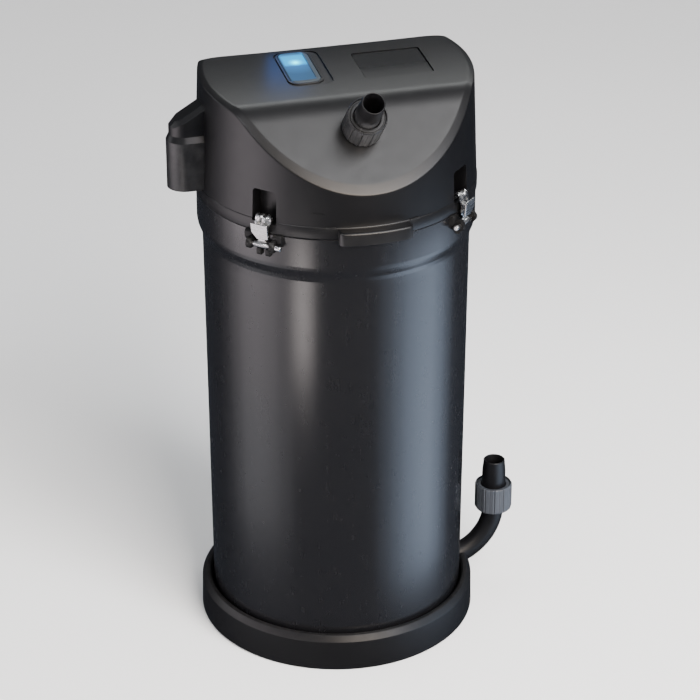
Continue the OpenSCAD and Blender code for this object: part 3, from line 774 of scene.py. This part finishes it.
def build_nut(name, node, t, body, phase=0.0):
    """Union nut: twelve broad grip flats with a groove between each pair, a scalloped rim, and a
    sunken lip inside the mouth."""
    lobes, per = 12, 28
    n = lobes * per
    prof = rounded([(9.8, 0.3, 0.2), (11.0, 0.3, 0.2), (11.85, 1.3, 0.5), (11.88, 2.6, 0.5), (11.88, 17.3, 0.15), (11.4, 18.0, 0.15), (10.95, 18.0, 0.2),
                    (10.9, 16.4, 0.25), (9.95, 16.4, 0.2), (9.85, 17.2, 0.25), (8.15, 17.2, 0.25), (8.0, 16.8, 0.2), (8.0, 11.9, 0.2), (9.8, 11.9, 0.2)], True, 4)
    verts, faces = [], []
    m = len(prof)
    for i in range(n):
        a = 2 * math.pi * i / n + phase
        u = (i % per) / per
        w = abs(u - 0.5) * 2            # 1 at the groove, 0 mid flat
        flat = math.cos(rad(12)) / math.cos(rad(12) * min(1.0, w / 0.8))
        groove = 0.0
        if w > 0.79:
            groove = 0.62 * (0.5 - 0.5 * math.cos(math.pi * (w - 0.79) / 0.21))
        if w < 0.16:
            groove = 0.16 * (0.5 + 0.5 * math.cos(math.pi * w / 0.16))
        for r, z in prof:
            if r > 11.0:
                k = min(1.0, (r - 11.0) / 0.5)
                rr = r * (1 - k * (1 - flat)) - groove * k
            else:
                rr = r
            verts.append((rr * math.cos(a), rr * math.sin(a), z))
    for i in range(n):
        j = (i + 1) % n
        for k in range(m):
            l = (k + 1) % m
            faces.append((i * m + k, j * m + k, j * m + l, i * m + l))
    # the outlet nut takes the darker copy, which paints shade on it
    return make(name, verts, faces, body, M["nut_upper" if "outlet" in name else "nut_grey"], (node,), 38, t)


build_nut("outlet_nut_body", "outlet_union_nut", T_FACE, "outlet_nut", rad(6))
build_nut("inlet_nut_body", "inlet_union_nut", T_INLET, "inlet_nut", rad(15))


def tube(path, ro, ri, n=48):
    """Hollow tube along a path of (point, normal, binormal)."""
    verts, faces = [], []
    rings = []
    for p, a, b in path:
        rings.append([p + a * (ro * math.cos(t)) + b * (ro * math.sin(t)) for t in np.linspace(0, 2 * math.pi, n, endpoint=False)])
    for p, a, b in reversed(path):
        rings.append([p + a * (ri * math.cos(t)) + b * (ri * math.sin(t)) for t in np.linspace(0, 2 * math.pi, n, endpoint=False)])
    for r in rings:
        verts += [tuple(q) for q in r]
    m = len(rings)
    for k in range(m):
        l = (k + 1) % m
        for i in range(n):
            j = (i + 1) % n
            faces.append((k * n + i, k * n + j, l * n + j, l * n + i))
    return verts, faces


def build_elbow():
    cx, cz, br = 70.0, 51.6, 34.4
    path = []
    yv = np.array([0.0, 1.0, 0.0])
    for x in (64, 66, 68):
        path.append((np.array([x, 0, cz - br]), yv, np.array([0, 0, 1.0])))
    for i in range(0, 41):
        a = -math.pi / 2 + math.pi / 2 * i / 40
        path.append((np.array([cx + br * math.cos(a), 0, cz + br * math.sin(a)]), yv, -np.array([math.cos(a), 0, math.sin(a)])))
    for z in (53, 55, 57.0):
        path.append((np.array([104.4, 0, z]), yv, np.array([-1.0, 0, 0])))
    v, f = tube(path, 6.7, 5.4, 56)
    bm = bmesh.new()
    vs = [bm.verts.new(p) for p in v]
    for q in f:
        bm.faces.new([vs[i] for i in q])
    lv, lf = lathe(rounded([(6.4, 52.2, 0.2), (9.5, 52.2, 0.6), (9.5, 57.0, 0.4), (6.4, 57.0, 0.2)], True, 3), 72)
    off = [bm.verts.new((p[0] + 104.4, p[1], p[2])) for p in lv]
    for q in lf:
        bm.faces.new([off[i] for i in q])
    return finish_bm("inlet_elbow_pipe", bm, "canister", M["union_black"], ("inlet_elbow",), 32)


build_elbow()


# ------------------------------------------------------------------------ clips
def strip_mesh(path, width, thick, n_across=9, taper=None, ribs=0.0):
    """Bent strip. path: (r, z) centre line points with normals worked out from it."""
    p = np.array(path, float)
    t = np.gradient(p, axis=0)
    t /= np.linalg.norm(t, axis=1)[:, None]
    nrm = np.stack([t[:, 1], -t[:, 0]], 1)
    s = np.concatenate([[0], np.cumsum(np.linalg.norm(np.diff(p, axis=0), axis=1))])
    s /= s[-1]
    verts, faces = [], []
    m = len(p)
    for side in (1, -1):
        for i in range(m):
            w0, w1 = taper(s[i]) if taper else (-1.0, 1.0)
            for k in range(n_across):
                u = k / (n_across - 1)
                yy = (w0 + (w1 - w0) * u) * width / 2
                edge = min(u, 1 - u)
                soft = 0.72 if edge < 1e-6 else 1.0
                rib = 0.0
                if ribs > 0 and s[i] > 0.40:
                    q0 = (s[i] - 0.40) / 0.60
                    rib = ribs * (math.sin(9.0 * u + 5.0 * q0) * math.sin(11.0 * q0 - 2.5 * u) + 0.6 * math.sin(17.0 * u - 8.0 * q0)) * min(1.0, q0 * 5)
                q = p[i] + nrm[i] * (side * thick / 2 * soft + (rib if side == 1 else 0.0))
                verts.append((q[0], yy, q[1]))
    def idx(side, i, k):
        return (0 if side == 1 else m * n_across) + i * n_across + k
    for i in range(m - 1):
        for k in range(n_across - 1):
            faces.append((idx(1, i, k), idx(1, i, k + 1), idx(1, i + 1, k + 1), idx(1, i + 1, k)))
            faces.append((idx(-1, i, k), idx(-1, i + 1, k), idx(-1, i + 1, k + 1), idx(-1, i, k + 1)))
        for k in (0, n_across - 1):
            faces.append((idx(1, i, k), idx(1, i + 1, k), idx(-1, i + 1, k), idx(-1, i, k)))
    for i in (0, m - 1):
        for k in range(n_across - 1):
            faces.append((idx(1, i, k), idx(-1, i, k), idx(-1, i, k + 1), idx(1, i, k + 1)))
    return verts, faces


def hook_path():
    p = rounded([(85.9, 284.8), (86.1, 292, 20), (86.2, 297.6, 3.0), (85.4, 301.2, 1.4), (82.7, 302.0, 1.3), (81.3, 300.6, 1.2), (80.8, 297.7)], False, 6)
    dense = []
    for p0, p1 in zip(p[:-1], p[1:]):
        k = max(1, int(math.dist(p0, p1) / 0.5))
        dense += [(p0[0] + (p1[0] - p0[0]) * j / k, p0[1] + (p1[1] - p0[1]) * j / k) for j in range(k)]
    dense.append(p[-1])
    return dense


def build_clip(name, a):
    """Spring clip: a barrel rolled round the pin, the hook strip with pressed ribs, and the bright
    finger plate in front of it."""
    w = 8.7
    bm = bmesh.new()
    v, f = strip_mesh(hook_path(), w, 0.95, 25, lambda q: (-1.0 + 0.5 * math.exp(-((q - 0.115) / 0.065) ** 4),
                                                             1.0 - 0.5 * math.exp(-((q - 0.115) / 0.065) ** 4) + 0.42 * math.exp(-((q - 0.62) / 0.13) ** 2)), 0.34)
    vs = [bm.verts.new(p) for p in v]
    for q in f:
        bm.faces.new([vs[i] for i in q])
    # rolled barrel with the open seam of the roll at the front
    prof = []
    for i in range(40):
        ang = rad(26 + 328 * i / 39)
        prof.append((87 + 1.68 * math.cos(ang), 284.5 + 1.68 * math.sin(ang)))
    for i in range(39, -1, -1):
        ang = rad(26 + 328 * i / 39)
        prof.append((87 + 1.08 * math.cos(ang), 284.5 + 1.08 * math.sin(ang)))
    bm_join(bm, prism_bm(prof, -w / 2, w / 2, 0.12, 0.12, 2), SIDE_VIEW)
    # web behind the plate
    web = prism_bm(rect(85.9, 291.2, 89.1, 295.8, 0.4, 3), -2.8, 2.8, 0.2, 0.2, 2)
    bm_join(bm, web, SIDE_VIEW)
    # finger plate, slightly dished, its lower tail corner cut away and its rims rolled
    o = rounded([(-5.3, 298.4, 0.5), (5.7, 298.4, 0.6), (5.75, 289.4, 0.5), (-1.3, 288.8, 0.8), (-4.9, 292.8, 1.2)], True, 5)
    pl = prism_bm(o, -0.42, 0.42, 0.26, 0.26, 3)
    bmesh.ops.subdivide_edges(pl, edges=[e for e in pl.edges if e.calc_length() > 2.0], cuts=6, use_grid_fill=True)
    for q in pl.verts:
        q.co.z += 0.35 - 0.80 * ((298.4 - q.co.y) / 9.5) ** 2 - 0.10 * (q.co.x / 5.5) ** 2
    bm_join(bm, pl, Matrix(((0, 0, 1, 89.35), (1, 0, 0, 0), (0, 1, 0, 0), (0, 0, 0, 1))))
    # rivet for the plate and strip, built here but not joined to the clip
    v, f = lathe(rounded([(0, 0, 0), (1.1, 0, 0.2), (1.1, 0.35, 0.3), (0, 0.5, 0)], False, 3), 20, False)
    rv = bmesh.new()
    vs = [rv.verts.new(p) for p in v]
    for q in f:
        if len(set(q)) >= 3:
            rv.faces.new([vs[i] for i in q])
    bmesh.ops.remove_doubles(rv, verts=rv.verts, dist=1e-4)
    node = "clip_" + name
    return finish_bm("clip_" + name + "_strip", bm, name + "_clip", M["spring_steel"], (node,), 38, t_side(a))


for nm, a in CLIPS.items():
    build_clip(nm, a)


def build_pins():
    bm = bmesh.new()
    for a in CLIPS.values():
        pts = rounded([(0, -8.4, 0), (1.0, -8.4, 0.4), (1.0, 8.9, 0), (1.6, 8.9, 0.25), (1.6, 13.1, 0.55), (0, 13.1, 0)], False, 5)
        v, f = lathe(pts, 36, False)
        b2 = bmesh.new()
        vs = [b2.verts.new(p) for p in v]
        for q in f:
            if len(set(q)) >= 3:
                b2.faces.new([vs[i] for i in q])
        bmesh.ops.remove_doubles(b2, verts=b2.verts, dist=1e-4)
        m = t_side(a) @ Matrix.Translation((87, 0, 284.5)) @ Matrix(((1, 0, 0, 0), (0, 0, 1, 0), (0, -1, 0, 0), (0, 0, 0, 1)))
        bm_join(bm, b2, m)
    return finish_bm("clip_pivot_pins", bm, "canister", M["pin_steel"], ("clip_pins",), 40)


build_pins()


# ------------------------------------------------------------ cable compartment
def build_cable_cover():
    def stadium(r, xc, x1, k=16):
        pts = [(xc + r * math.cos(t), r * math.sin(t)) for t in np.linspace(math.pi / 2, 3 * math.pi / 2, 2 * k + 1)]
        return [(x1, r)] + pts + [(x1, -r)]
    lower = prism_bm(stadium(10.5, -91.8, -74), 299.4, 329.3)
    ob = raw_obj("cable_cover_box", lower)
    # sloped shoulder
    bm = bmesh.new()
    a = stadium(10.5, -91.8, -74)
    b = stadium(8.8, -91.8, -74)
    lo = [bm.verts.new((x, y, 329.2)) for x, y in a]
    mid = [bm.verts.new((x, y, 329.3)) for x, y in a]
    hi = [bm.verts.new((x, y, 332.8)) for x, y in b]
    top = [bm.verts.new((x, y, 360.0)) for x, y in b]
    n = len(a)
    for r0, r1 in ((lo, mid), (mid, hi), (hi, top)):
        for i in range(n):
            j = (i + 1) % n
            bm.faces.new((r0[i], r0[j], r1[j], r1[i]))
    bm.faces.new(lo[::-1])
    bm.faces.new(top)
    boolean(ob, [(bm, None)], "UNION")
    # roof planes: one down the outer end, two hips
    def half(p, nrm, size=80):
        c = prism_bm([(-size, -size), (size, -size), (size, size), (-size, size)], 0, 80)
        z = Vector(nrm).normalized()
        q = z.to_track_quat("Z", "Y").to_matrix().to_4x4()
        return c, Matrix.Translation(p) @ q
    k = math.atan(0.6)
    boolean(ob, [half((-92.4, 0, 344.3), (-math.sin(k), 0, math.cos(k)))])
    hn = math.atan(2.14 / 3.3)
    for sgn in (1, -1):
        nl = Vector((0, sgn * math.sin(hn), math.cos(hn)))
        nl.rotate(Matrix.Rotation(-k, 3, "Y"))
        boolean(ob, [half((-92.4, sgn * 5.5, 344.3), nl)])
        ne = Vector((-0.72, sgn * 0.38, 0.60))
        boolean(ob, [half((-97.0, sgn * 3.6, 341.4), ne)])
    boolean(ob, [half((-97.3, 0, 341.36), (-0.74, 0, 0.67))])
    # the head's own flank
    v, f = lathe([(0, 280), (83.0, 280), (83.0, 298.4), (wall_r(298.9) - 0.6, 298.9), (wall_r(375) - 0.6, 375), (0, 375)], 160)
    c = bmesh.new()
    vs = [c.verts.new(p) for p in v]
    for q in f:
        c.faces.new([vs[i] for i in q])
    bmesh.ops.remove_doubles(c, verts=c.verts, dist=1e-3)
    boolean(ob, [(c, None)])
    # seat of the gland
    v, f = lathe([(0, 290), (5.6, 290), (5.6, 309), (0, 309)], 64)
    c = bmesh.new()
    vs = [c.verts.new((p[0] - 91.8, p[1], p[2])) for p in v]
    for q in f:
        if len(set(q)) >= 3:
            c.faces.new([vs[i] for i in q])
    bmesh.ops.remove_doubles(c, verts=c.verts, dist=1e-3)
    boolean(ob, [(c, None)])
    bevelled(ob, 0.9, 3, 24)
    for v in ob.data.vertices:
        v.co.x = max(v.co.x, -102.29)
    return settle(ob, "head", M["head_black"], ("cable_cover",), 30)


build_cable_cover()


def build_gland():
    pts = [(3.3, 299.6, 0.5), (5.55, 299.6, 0.4), (5.55, 309, 0.2), (3.3, 309, 0.2)]
    v, f = lathe(rounded(pts, True, 3), 56)
    return make("cord_gland", [(p[0] - 91.8, p[1], p[2]) for p in v], f, "head", M["seal_rubber"], ("cable_gland",), 34)


build_gland()


# ------------------------------------------------------------- button and window
def build_bezel():
    """Recessed frame round the button: floor of the recess with a raised lip."""
    bm = prism_bm(rect(-32.2, -19.2, -5.4, 26.0, 5.8, 8), -1.2, -0.75, 0.2, 0.0, 2)
    ob = raw_obj("button_frame", bm)
    boolean(ob, [(prism_bm(rect(-30.1, -14.2, -11.2, 24.6, 5.2, 8), -4, 4), None)])
    # lip round the cap
    outer = prism_bm(rect(-31.4, -15.5, -9.9, 25.9, 6.2, 8), -3.4, 0.15, 0.45, 0.0, 3)
    o2 = raw_obj("lip", outer)
    boolean(o2, [(prism_bm(rect(-30.1, -14.2, -11.2, 24.6, 5.2, 8), -6, 4), None)])
    bm = bmesh.new()
    bm.from_mesh(ob.data)
    bm2 = bmesh.new()
    bm2.from_mesh(o2.data)
    bpy.data.objects.remove(o2)
    bm_join(bm, bm2)
    bpy.data.objects.remove(ob)
    return finish_bm("button_frame", bm, "head", M["head_black"], ("button_bezel",), 30, T_TOP)


build_bezel()


def panel_xy(nt):
    """The top panel's own x and y, in millimetres, from the object's coordinates."""
    inv = T_TOP.inverted()
    geo = nt.nodes.new("ShaderNodeMapping")
    geo.vector_type = "POINT"
    tc = nt.nodes.new("ShaderNodeTexCoord")
    geo.inputs["Scale"].default_value = (1000, 1000, 1000)
    nt.links.new(tc.outputs["Object"], geo.inputs["Vector"])
    rot = nt.nodes.new("ShaderNodeMapping")
    rot.vector_type = "POINT"
    loc, quat, _ = inv.decompose()
    rot.inputs["Rotation"].default_value = quat.to_euler()
    rot.inputs["Location"].default_value = loc
    nt.links.new(geo.outputs["Vector"], rot.inputs["Vector"])
    sep = nt.nodes.new("ShaderNodeSeparateXYZ")
    nt.links.new(rot.outputs["Vector"], sep.inputs[0])
    return sep.outputs["X"], sep.outputs["Y"]


def window_material():
    m, nt, b = new_mat("satin_window")
    v = tex_coord(nt)
    smear = noise(nt, v, 30, 5, 0.65, 0.8)
    fine = noise(nt, v, 3000, 2, 0.5)
    nt.links.new(mix_col(nt, map_range(nt, smear, 0.35, 0.7, 0, 1), (0.0044, 0.0046, 0.0052), (0.0050, 0.0052, 0.0059)), b.inputs["Base Color"])
    # handled along its front edge: rougher there, glossier towards the back
    x, y = panel_xy(nt)
    r = math_node(nt, "ADD", map_range(nt, y, -18.5, -3.0, 0.41, 0.27), map_range(nt, smear, 0.3, 0.75, -0.004, 0.004))
    nt.links.new(r, b.inputs["Roughness"])
    nt.links.new(bump(nt, fine, 0.03, 0.00005), b.inputs["Normal"])
    return m


M["window_dark"] = window_material()


def cap_material():
    """Translucent pale blue cap, lit cyan at its rear end with a bright spot."""
    m, nt, b = new_mat("lit_blue_cap")
    v = tex_coord(nt)
    x, y = panel_xy(nt)

    def box_fac(lo, hi, val, soft):
        return math_node(nt, "MULTIPLY", map_range(nt, val, lo - soft, lo + soft, 0, 1), map_range(nt, val, hi + soft, hi - soft, 0, 1))
    lit = math_node(nt, "MULTIPLY", box_fac(-28.2, -14.2, x, 0.9), box_fac(9.0, 22.0, y, 1.4))
    dx = math_node(nt, "ADD", x, 21.0)
    dy = math_node(nt, "ADD", y, -12.2)
    d2 = math_node(nt, "ADD", math_node(nt, "MULTIPLY", dx, dx), math_node(nt, "MULTIPLY", dy, dy))
    d = math_node(nt, "SQRT", d2)
    spot = map_range(nt, d, 0.6, 5.5, 1.0, 0.0)
    spot = math_node(nt, "POWER", spot, 2.0)
    halo = map_range(nt, d, 2.0, 15.0, 1.0, 0.0)
    body = noise(nt, v, 60, 3, 0.5)
    base = mix_col(nt, map_range(nt, body, 0.3, 0.7, 0, 1), (0.008, 0.018, 0.030), (0.012, 0.024, 0.038))
    base = mix_col(nt, lit, base, (0.004, 0.05, 0.12))
    # the rim round the sunken middle is plain grey
    inner = math_node(nt, "MULTIPLY", box_fac(-29.3, -14.5, x, 0.45), box_fac(-11.6, 24.5, y, 0.45))
    base = mix_col(nt, inner, (0.050, 0.060, 0.066), base)
    nt.links.new(base, b.inputs["Base Color"])
    ecol = mix_col(nt, math_node(nt, "MULTIPLY", halo, 0.9), (0.16, 0.46, 0.92), (0.03, 0.36, 1.0))
    ecol = mix_col(nt, lit, ecol, (0.0, 0.50, 1.0))
    ecol = mix_col(nt, spot, ecol, (0.0, 0.90, 1.0))
    nt.links.new(ecol, b.inputs["Emission Color"])
    es = math_node(nt, "ADD", math_node(nt, "MULTIPLY", lit, 0.78), math_node(nt, "MULTIPLY", spot, 2.8))
    es = math_node(nt, "ADD", es, math_node(nt, "MULTIPLY", halo, 0.38))
    es = math_node(nt, "MULTIPLY", math_node(nt, "ADD", es, 0.25), math_node(nt, "ADD", math_node(nt, "MULTIPLY", inner, 0.88), 0.12))
    nt.links.new(es, b.inputs["Emission Strength"])
    nt.links.new(map_range(nt, body, 0.3, 0.7, 0.34, 0.42), b.inputs["Roughness"])
    b.inputs["Specular IOR Level"].default_value = 0.12
    return m


M["button_blue"] = cap_material()


def build_cap():
    ob = raw_obj("cap", prism_bm(rect(-29.8, -13.9, -11.5, 24.3, 4.9, 8), -2.6, 0.6, 0.9, 0.2, 5))
    boolean(ob, [(prism_bm(rect(-29.0, -12.0, -14.2, 23.5, 4.1, 8), -0.05, 3.0, 0.0, 0.35, 3), None)])
    bm = bmesh.new()
    bm.from_mesh(ob.data)
    bpy.data.objects.remove(ob)
    # post under the cap
    bm_join(bm, prism_bm(rect(-23.6, 1.0, -17.6, 7.0, 0.8, 3), -9.4, -2.5, 0.0, 0.4, 2))
    return finish_bm("power_button_cap", bm, "button", M["button_blue"], ("power_button",), 30, T_TOP)


build_cap()


def build_window():
    bm = prism_bm(rect(13.5, -17.2, 54.7, 15.8, 1.9, 6), -1.3, -0.25, 0.45, 0.0, 3)
    return finish_bm("display_panel", bm, "head", M["window_dark"], ("display_window",), 30, T_TOP)


build_window()


# --------------------------------------------------------- CAD nodes that stay
def glass_material():
    m, nt, b = new_mat("clear_guide")
    v = tex_coord(nt)
    n = noise(nt, v, 400, 3, 0.5)
    nt.links.new(mix_col(nt, n, (0.75, 0.9, 0.97), (0.65, 0.82, 0.92)), b.inputs["Base Color"])
    nt.links.new(map_range(nt, n, 0.3, 0.7, 0.05, 0.12), b.inputs["Roughness"])
    b.inputs["Transmission Weight"].default_value = 0.9
    return m


M["light_guide"] = glass_material()
SLOT_OF = {s["node"]: s["material_slot"] for s in frame["record"]["subparts"]}
for name, ob in nodes.items():
    mat = M.get(SLOT_OF.get(name, ""), M["head_black"])
    ob.data.materials.clear()
    ob.data.materials.append(mat)
    for p in ob.data.polygons:
        p.material_index = 0


# ------------------------------------------------------------------------ stage
def floor_material():
    m, nt, b = new_mat("pale_floor")
    v = tex_coord(nt)
    n = noise(nt, v, 3, 3, 0.5)
    nt.links.new(mix_col(nt, n, (0.90, 0.90, 0.90), (0.93, 0.93, 0.93)), b.inputs["Base Color"])
    nt.links.new(map_range(nt, n, 0.3, 0.7, 0.5, 0.6), b.inputs["Roughness"])
    b.inputs["Specular IOR Level"].default_value = 0.2
    b.inputs["Emission Color"].default_value = (1.0, 1.0, 1.0, 1.0)
    b.inputs["Emission Strength"].default_value = 0.10
    return m


fl = bmesh.new()
bmesh.ops.create_grid(fl, x_segments=2, y_segments=2, size=8.0)
fme = bpy.data.meshes.new("floor")
fl.to_mesh(fme)
fl.free()
floor = bpy.data.objects.new("floor", fme)
fme.materials.append(floor_material())
bpy.context.scene.collection.objects.link(floor)
floor.visible_glossy = False


def backdrop_material():
    """Pale wall that glows a little, so that low views have a light ground behind the object."""
    m, nt, b = new_mat("pale_backdrop")
    v = tex_coord(nt)
    n = noise(nt, v, 1.2, 2, 0.5)
    nt.links.new(mix_col(nt, n, (0.88, 0.88, 0.89), (0.91, 0.91, 0.92)), b.inputs["Base Color"])
    nt.links.new(map_range(nt, n, 0.3, 0.7, 0.8, 0.9), b.inputs["Roughness"])
    nt.links.new(mix_col(nt, n, (0.96, 0.97, 1.0), (1.0, 1.0, 1.0)), b.inputs["Emission Color"])
    b.inputs["Emission Strength"].default_value = 0.36
    b.inputs["Specular IOR Level"].default_value = 0.0
    return m


# round wall with a swept foot, standing on the floor
prof = [(4.0, 0.004)] + [(4.0 + 1.2 * math.sin(rad(a)), 0.004 + 1.2 * (1 - math.cos(rad(a)))) for a in range(6, 91, 6)] + [(5.2, 2.6)]
bv, bf, seg = [], [], 96
for r, z in prof:
    bv += [(r * math.cos(2 * math.pi * i / seg), r * math.sin(2 * math.pi * i / seg), z) for i in range(seg)]
for k in range(len(prof) - 1):
    for i in range(seg):
        j = (i + 1) % seg
        bf.append((k * seg + j, k * seg + i, (k + 1) * seg + i, (k + 1) * seg + j))
bme = bpy.data.meshes.new("backdrop")
bme.from_pydata(bv, [], bf)
bme.polygons.foreach_set("use_smooth", [True] * len(bme.polygons))
bme.materials.append(backdrop_material())
backdrop = bpy.data.objects.new("backdrop", bme)
bpy.context.scene.collection.objects.link(backdrop)
backdrop.visible_glossy = False
backdrop.visible_shadow = False

world = bpy.data.worlds.new("studio")
bpy.context.scene.world = world
world.use_nodes = True
wn = world.node_tree
wn.nodes.clear()
wout = wn.nodes.new("ShaderNodeOutputWorld")
wbg = wn.nodes.new("ShaderNodeBackground")
wn.links.new(wbg.outputs[0], wout.inputs[0])
wtc = wn.nodes.new("ShaderNodeTexCoord")
wsep = wn.nodes.new("ShaderNodeSeparateXYZ")
wn.links.new(wtc.outputs["Generated"], wsep.inputs[0])
wcol = ramp(wn, map_range(wn, wsep.outputs["Z"], -1, 1, 0, 1),
            [(0.0, (0.078, 0.091, 0.120)), (0.48, (0.088, 0.101, 0.130)), (0.56, (0.28, 0.29, 0.31)), (1.0, (0.34, 0.35, 0.37))])
# the half of the room behind the object is darker, so that the rear slopes stay black
wback = map_range(wn, wsep.outputs["Y"], 0.15, 0.65, 0.0, 0.72)
wcol = mix_col(wn, wback, wcol, (0.030, 0.033, 0.040))
wn.links.new(wcol, wbg.inputs["Color"])
wbg.inputs["Strength"].default_value = 0.8


def panel(name, pos, target, size_x, size_y, radiance, colour=(1, 1, 1)):
    """Soft box of the given radiance, facing target. Metres."""
    li = bpy.data.lights.new(name, "AREA")
    li.shape = "RECTANGLE"
    li.size, li.size_y = size_x, size_y
    li.energy = radiance * math.pi * size_x * size_y
    li.color = colour
    ob = bpy.data.objects.new(name, li)
    ob.location = pos
    ob.rotation_mode = "QUATERNION"
    ob.rotation_quaternion = (Vector(target) - Vector(pos)).to_track_quat("-Z", "Y")
    ob.visible_camera = False
    bpy.context.scene.collection.objects.link(ob)
    return ob


def polar(az, dist, z):
    return (math.sin(rad(az)) * dist, -math.cos(rad(az)) * dist, z)


def arc(name, az0, az1, dist, z0, z1, weights, radiance, colour):
    """Upright strips side by side on an arc, stronger in the middle, so that the glow fades at both sides."""
    n = len(weights)
    step = (az1 - az0) / n
    w = 2 * dist * math.tan(rad(step) / 2)
    zc = (z0 + z1) / 2
    for i, k in enumerate(weights):
        a = az0 + step * (i + 0.5)
        ob = panel("%s_%d" % (name, i), polar(a, dist, zc), (0, 0, zc), w, z1 - z0, radiance * k, colour)
        ob.light_linking.receiver_collection = no_floor


no_floor = bpy.data.collections.new("all_but_floor")
no_floor.objects.link(floor)
no_floor.collection_objects[0].light_linking.link_state = "EXCLUDE"
no_cover = bpy.data.collections.new("all_but_cable_cover")
no_cover.objects.link(bpy.data.objects["cable_cover_box"])
no_cover.collection_objects[0].light_linking.link_state = "EXCLUDE"
only_cover = bpy.data.collections.new("cable_cover_only")
only_cover.objects.link(bpy.data.objects["cable_cover_box"])
only_floor = bpy.data.collections.new("floor_only")
only_floor.objects.link(floor)
# overhead and front
panel("key_top", (0.36, -0.60, 1.40), (0, -0.02, 0.34), 0.60, 0.38, 9.2, (0.99, 0.99, 1.0))
panel("top_sheen", (0.15, 0.170, 0.60), (0.15, 0.170, 0.0), 0.50, 0.12, 5.0, (0.98, 1.0, 0.99))
for lamp in (panel("front_warm", (0.17, -1.15, 0.82), (0, -0.05, 0.32), 0.72, 0.50, 15.5, (1.0, 0.86, 0.72)),
             panel("front_cool", (0.70, -1.02, 0.82), (0, -0.05, 0.32), 0.46, 0.50, 10.0, (0.94, 0.97, 1.05))):
    lamp.light_linking.receiver_collection = no_cover
# a small lamp for the step of the cable compartment
step_lamp = panel("cover_step", (0.07, -0.534, 0.575), (-0.092, -0.01, 0.331), 0.22, 0.13, 7.0, (1.0, 0.93, 0.96))
step_lamp.light_linking.receiver_collection = only_cover
panel("front_fill", (0.26, -0.98, 1.22), (0, -0.03, 0.33), 0.80, 0.42, 3.6, (1.0, 0.975, 0.985))
for floor_light in (panel("floor_right", (0.72, -1.50, 1.45), (0, 0.1, 0.0), 0.75, 0.9, 27.0, (1.0, 0.99, 0.98)),
                    panel("floor_front", (0.10, -1.85, 1.45), (0, 0.1, 0.0), 0.6, 0.8, 24.0, (0.99, 0.99, 1.0))):
    floor_light.light_linking.receiver_collection = only_floor
panel("back_fill", polar(-118, 1.8, 0.80), (0, 0.1, 0.1), 0.9, 0.6, 2.0, (0.97, 0.98, 1.0))
panel("cover_hip", (-0.27, -0.19, 0.60), (-0.09, -0.01, 0.345), 0.10, 0.10, 9.0, (0.98, 0.97, 1.0))
# round the sides: a dim rosy glow on the left, a narrow warm strip, a broad cool glow on the right
arc("left_glow", -124, -52, 0.45, 0.10, 0.31, (0.06, 0.36, 0.85, 1.0, 0.9, 0.5), 3.0, (1.0, 0.90, 0.94))
arc("left_foot", -124, -52, 0.45, -0.03, 0.10, (0.06, 0.36, 0.85, 1.0, 0.9, 0.5), 1.35, (1.0, 0.92, 0.95))
arc("left_low", -124, -52, 0.45, -0.15, -0.03, (0.06, 0.36, 0.85, 1.0, 0.9, 0.5), 1.0, (0.97, 0.96, 1.0))
arc("warm_strip", -50, -32, 0.36, 0.05, 0.165, (0.6, 1.0, 0.6), 5.4, (1.0, 0.92, 0.90))
arc("cool_glow", 18, 90, 0.30, -0.10, 0.175, (0.2, 0.5, 0.85, 1.0, 1.0, 0.6, 0.2), 2.7, (0.66, 0.81, 1.05))
# the lit button's own glow on the panel round it
gl = T_TOP @ Vector((-21.0, 31.0, 17.0))
gt = T_TOP @ Vector((-25.0, 8.0, 0.0))
panel("button_glow", tuple(c * MM for c in gl), tuple(c * MM for c in gt), 0.024, 0.024, 1.7, (0.01, 0.24, 1.0))

# ----------------------------------------------------------------------- camera
cam_data = bpy.data.cameras.new("camera")
cam = bpy.data.objects.new("camera", cam_data)
bpy.context.scene.collection.objects.link(cam)
F = Vector((0.24203, 0.85579, -0.45722)).normalized()
U = Vector((0.12396, 0.44009, 0.88936))
R = F.cross(U).normalized()
U = R.cross(F)
cam.matrix_world = Matrix(((R.x, U.x, -F.x, -0.40583), (R.y, U.y, -F.y, -1.46594), (R.z, U.z, -F.z, 0.95977), (0, 0, 0, 1)))
cam_data.lens = 143.266
cam_data.sensor_width = 36.0
cam_data.clip_start = 0.05
cam_data.clip_end = 30.0
bpy.context.scene.camera = cam
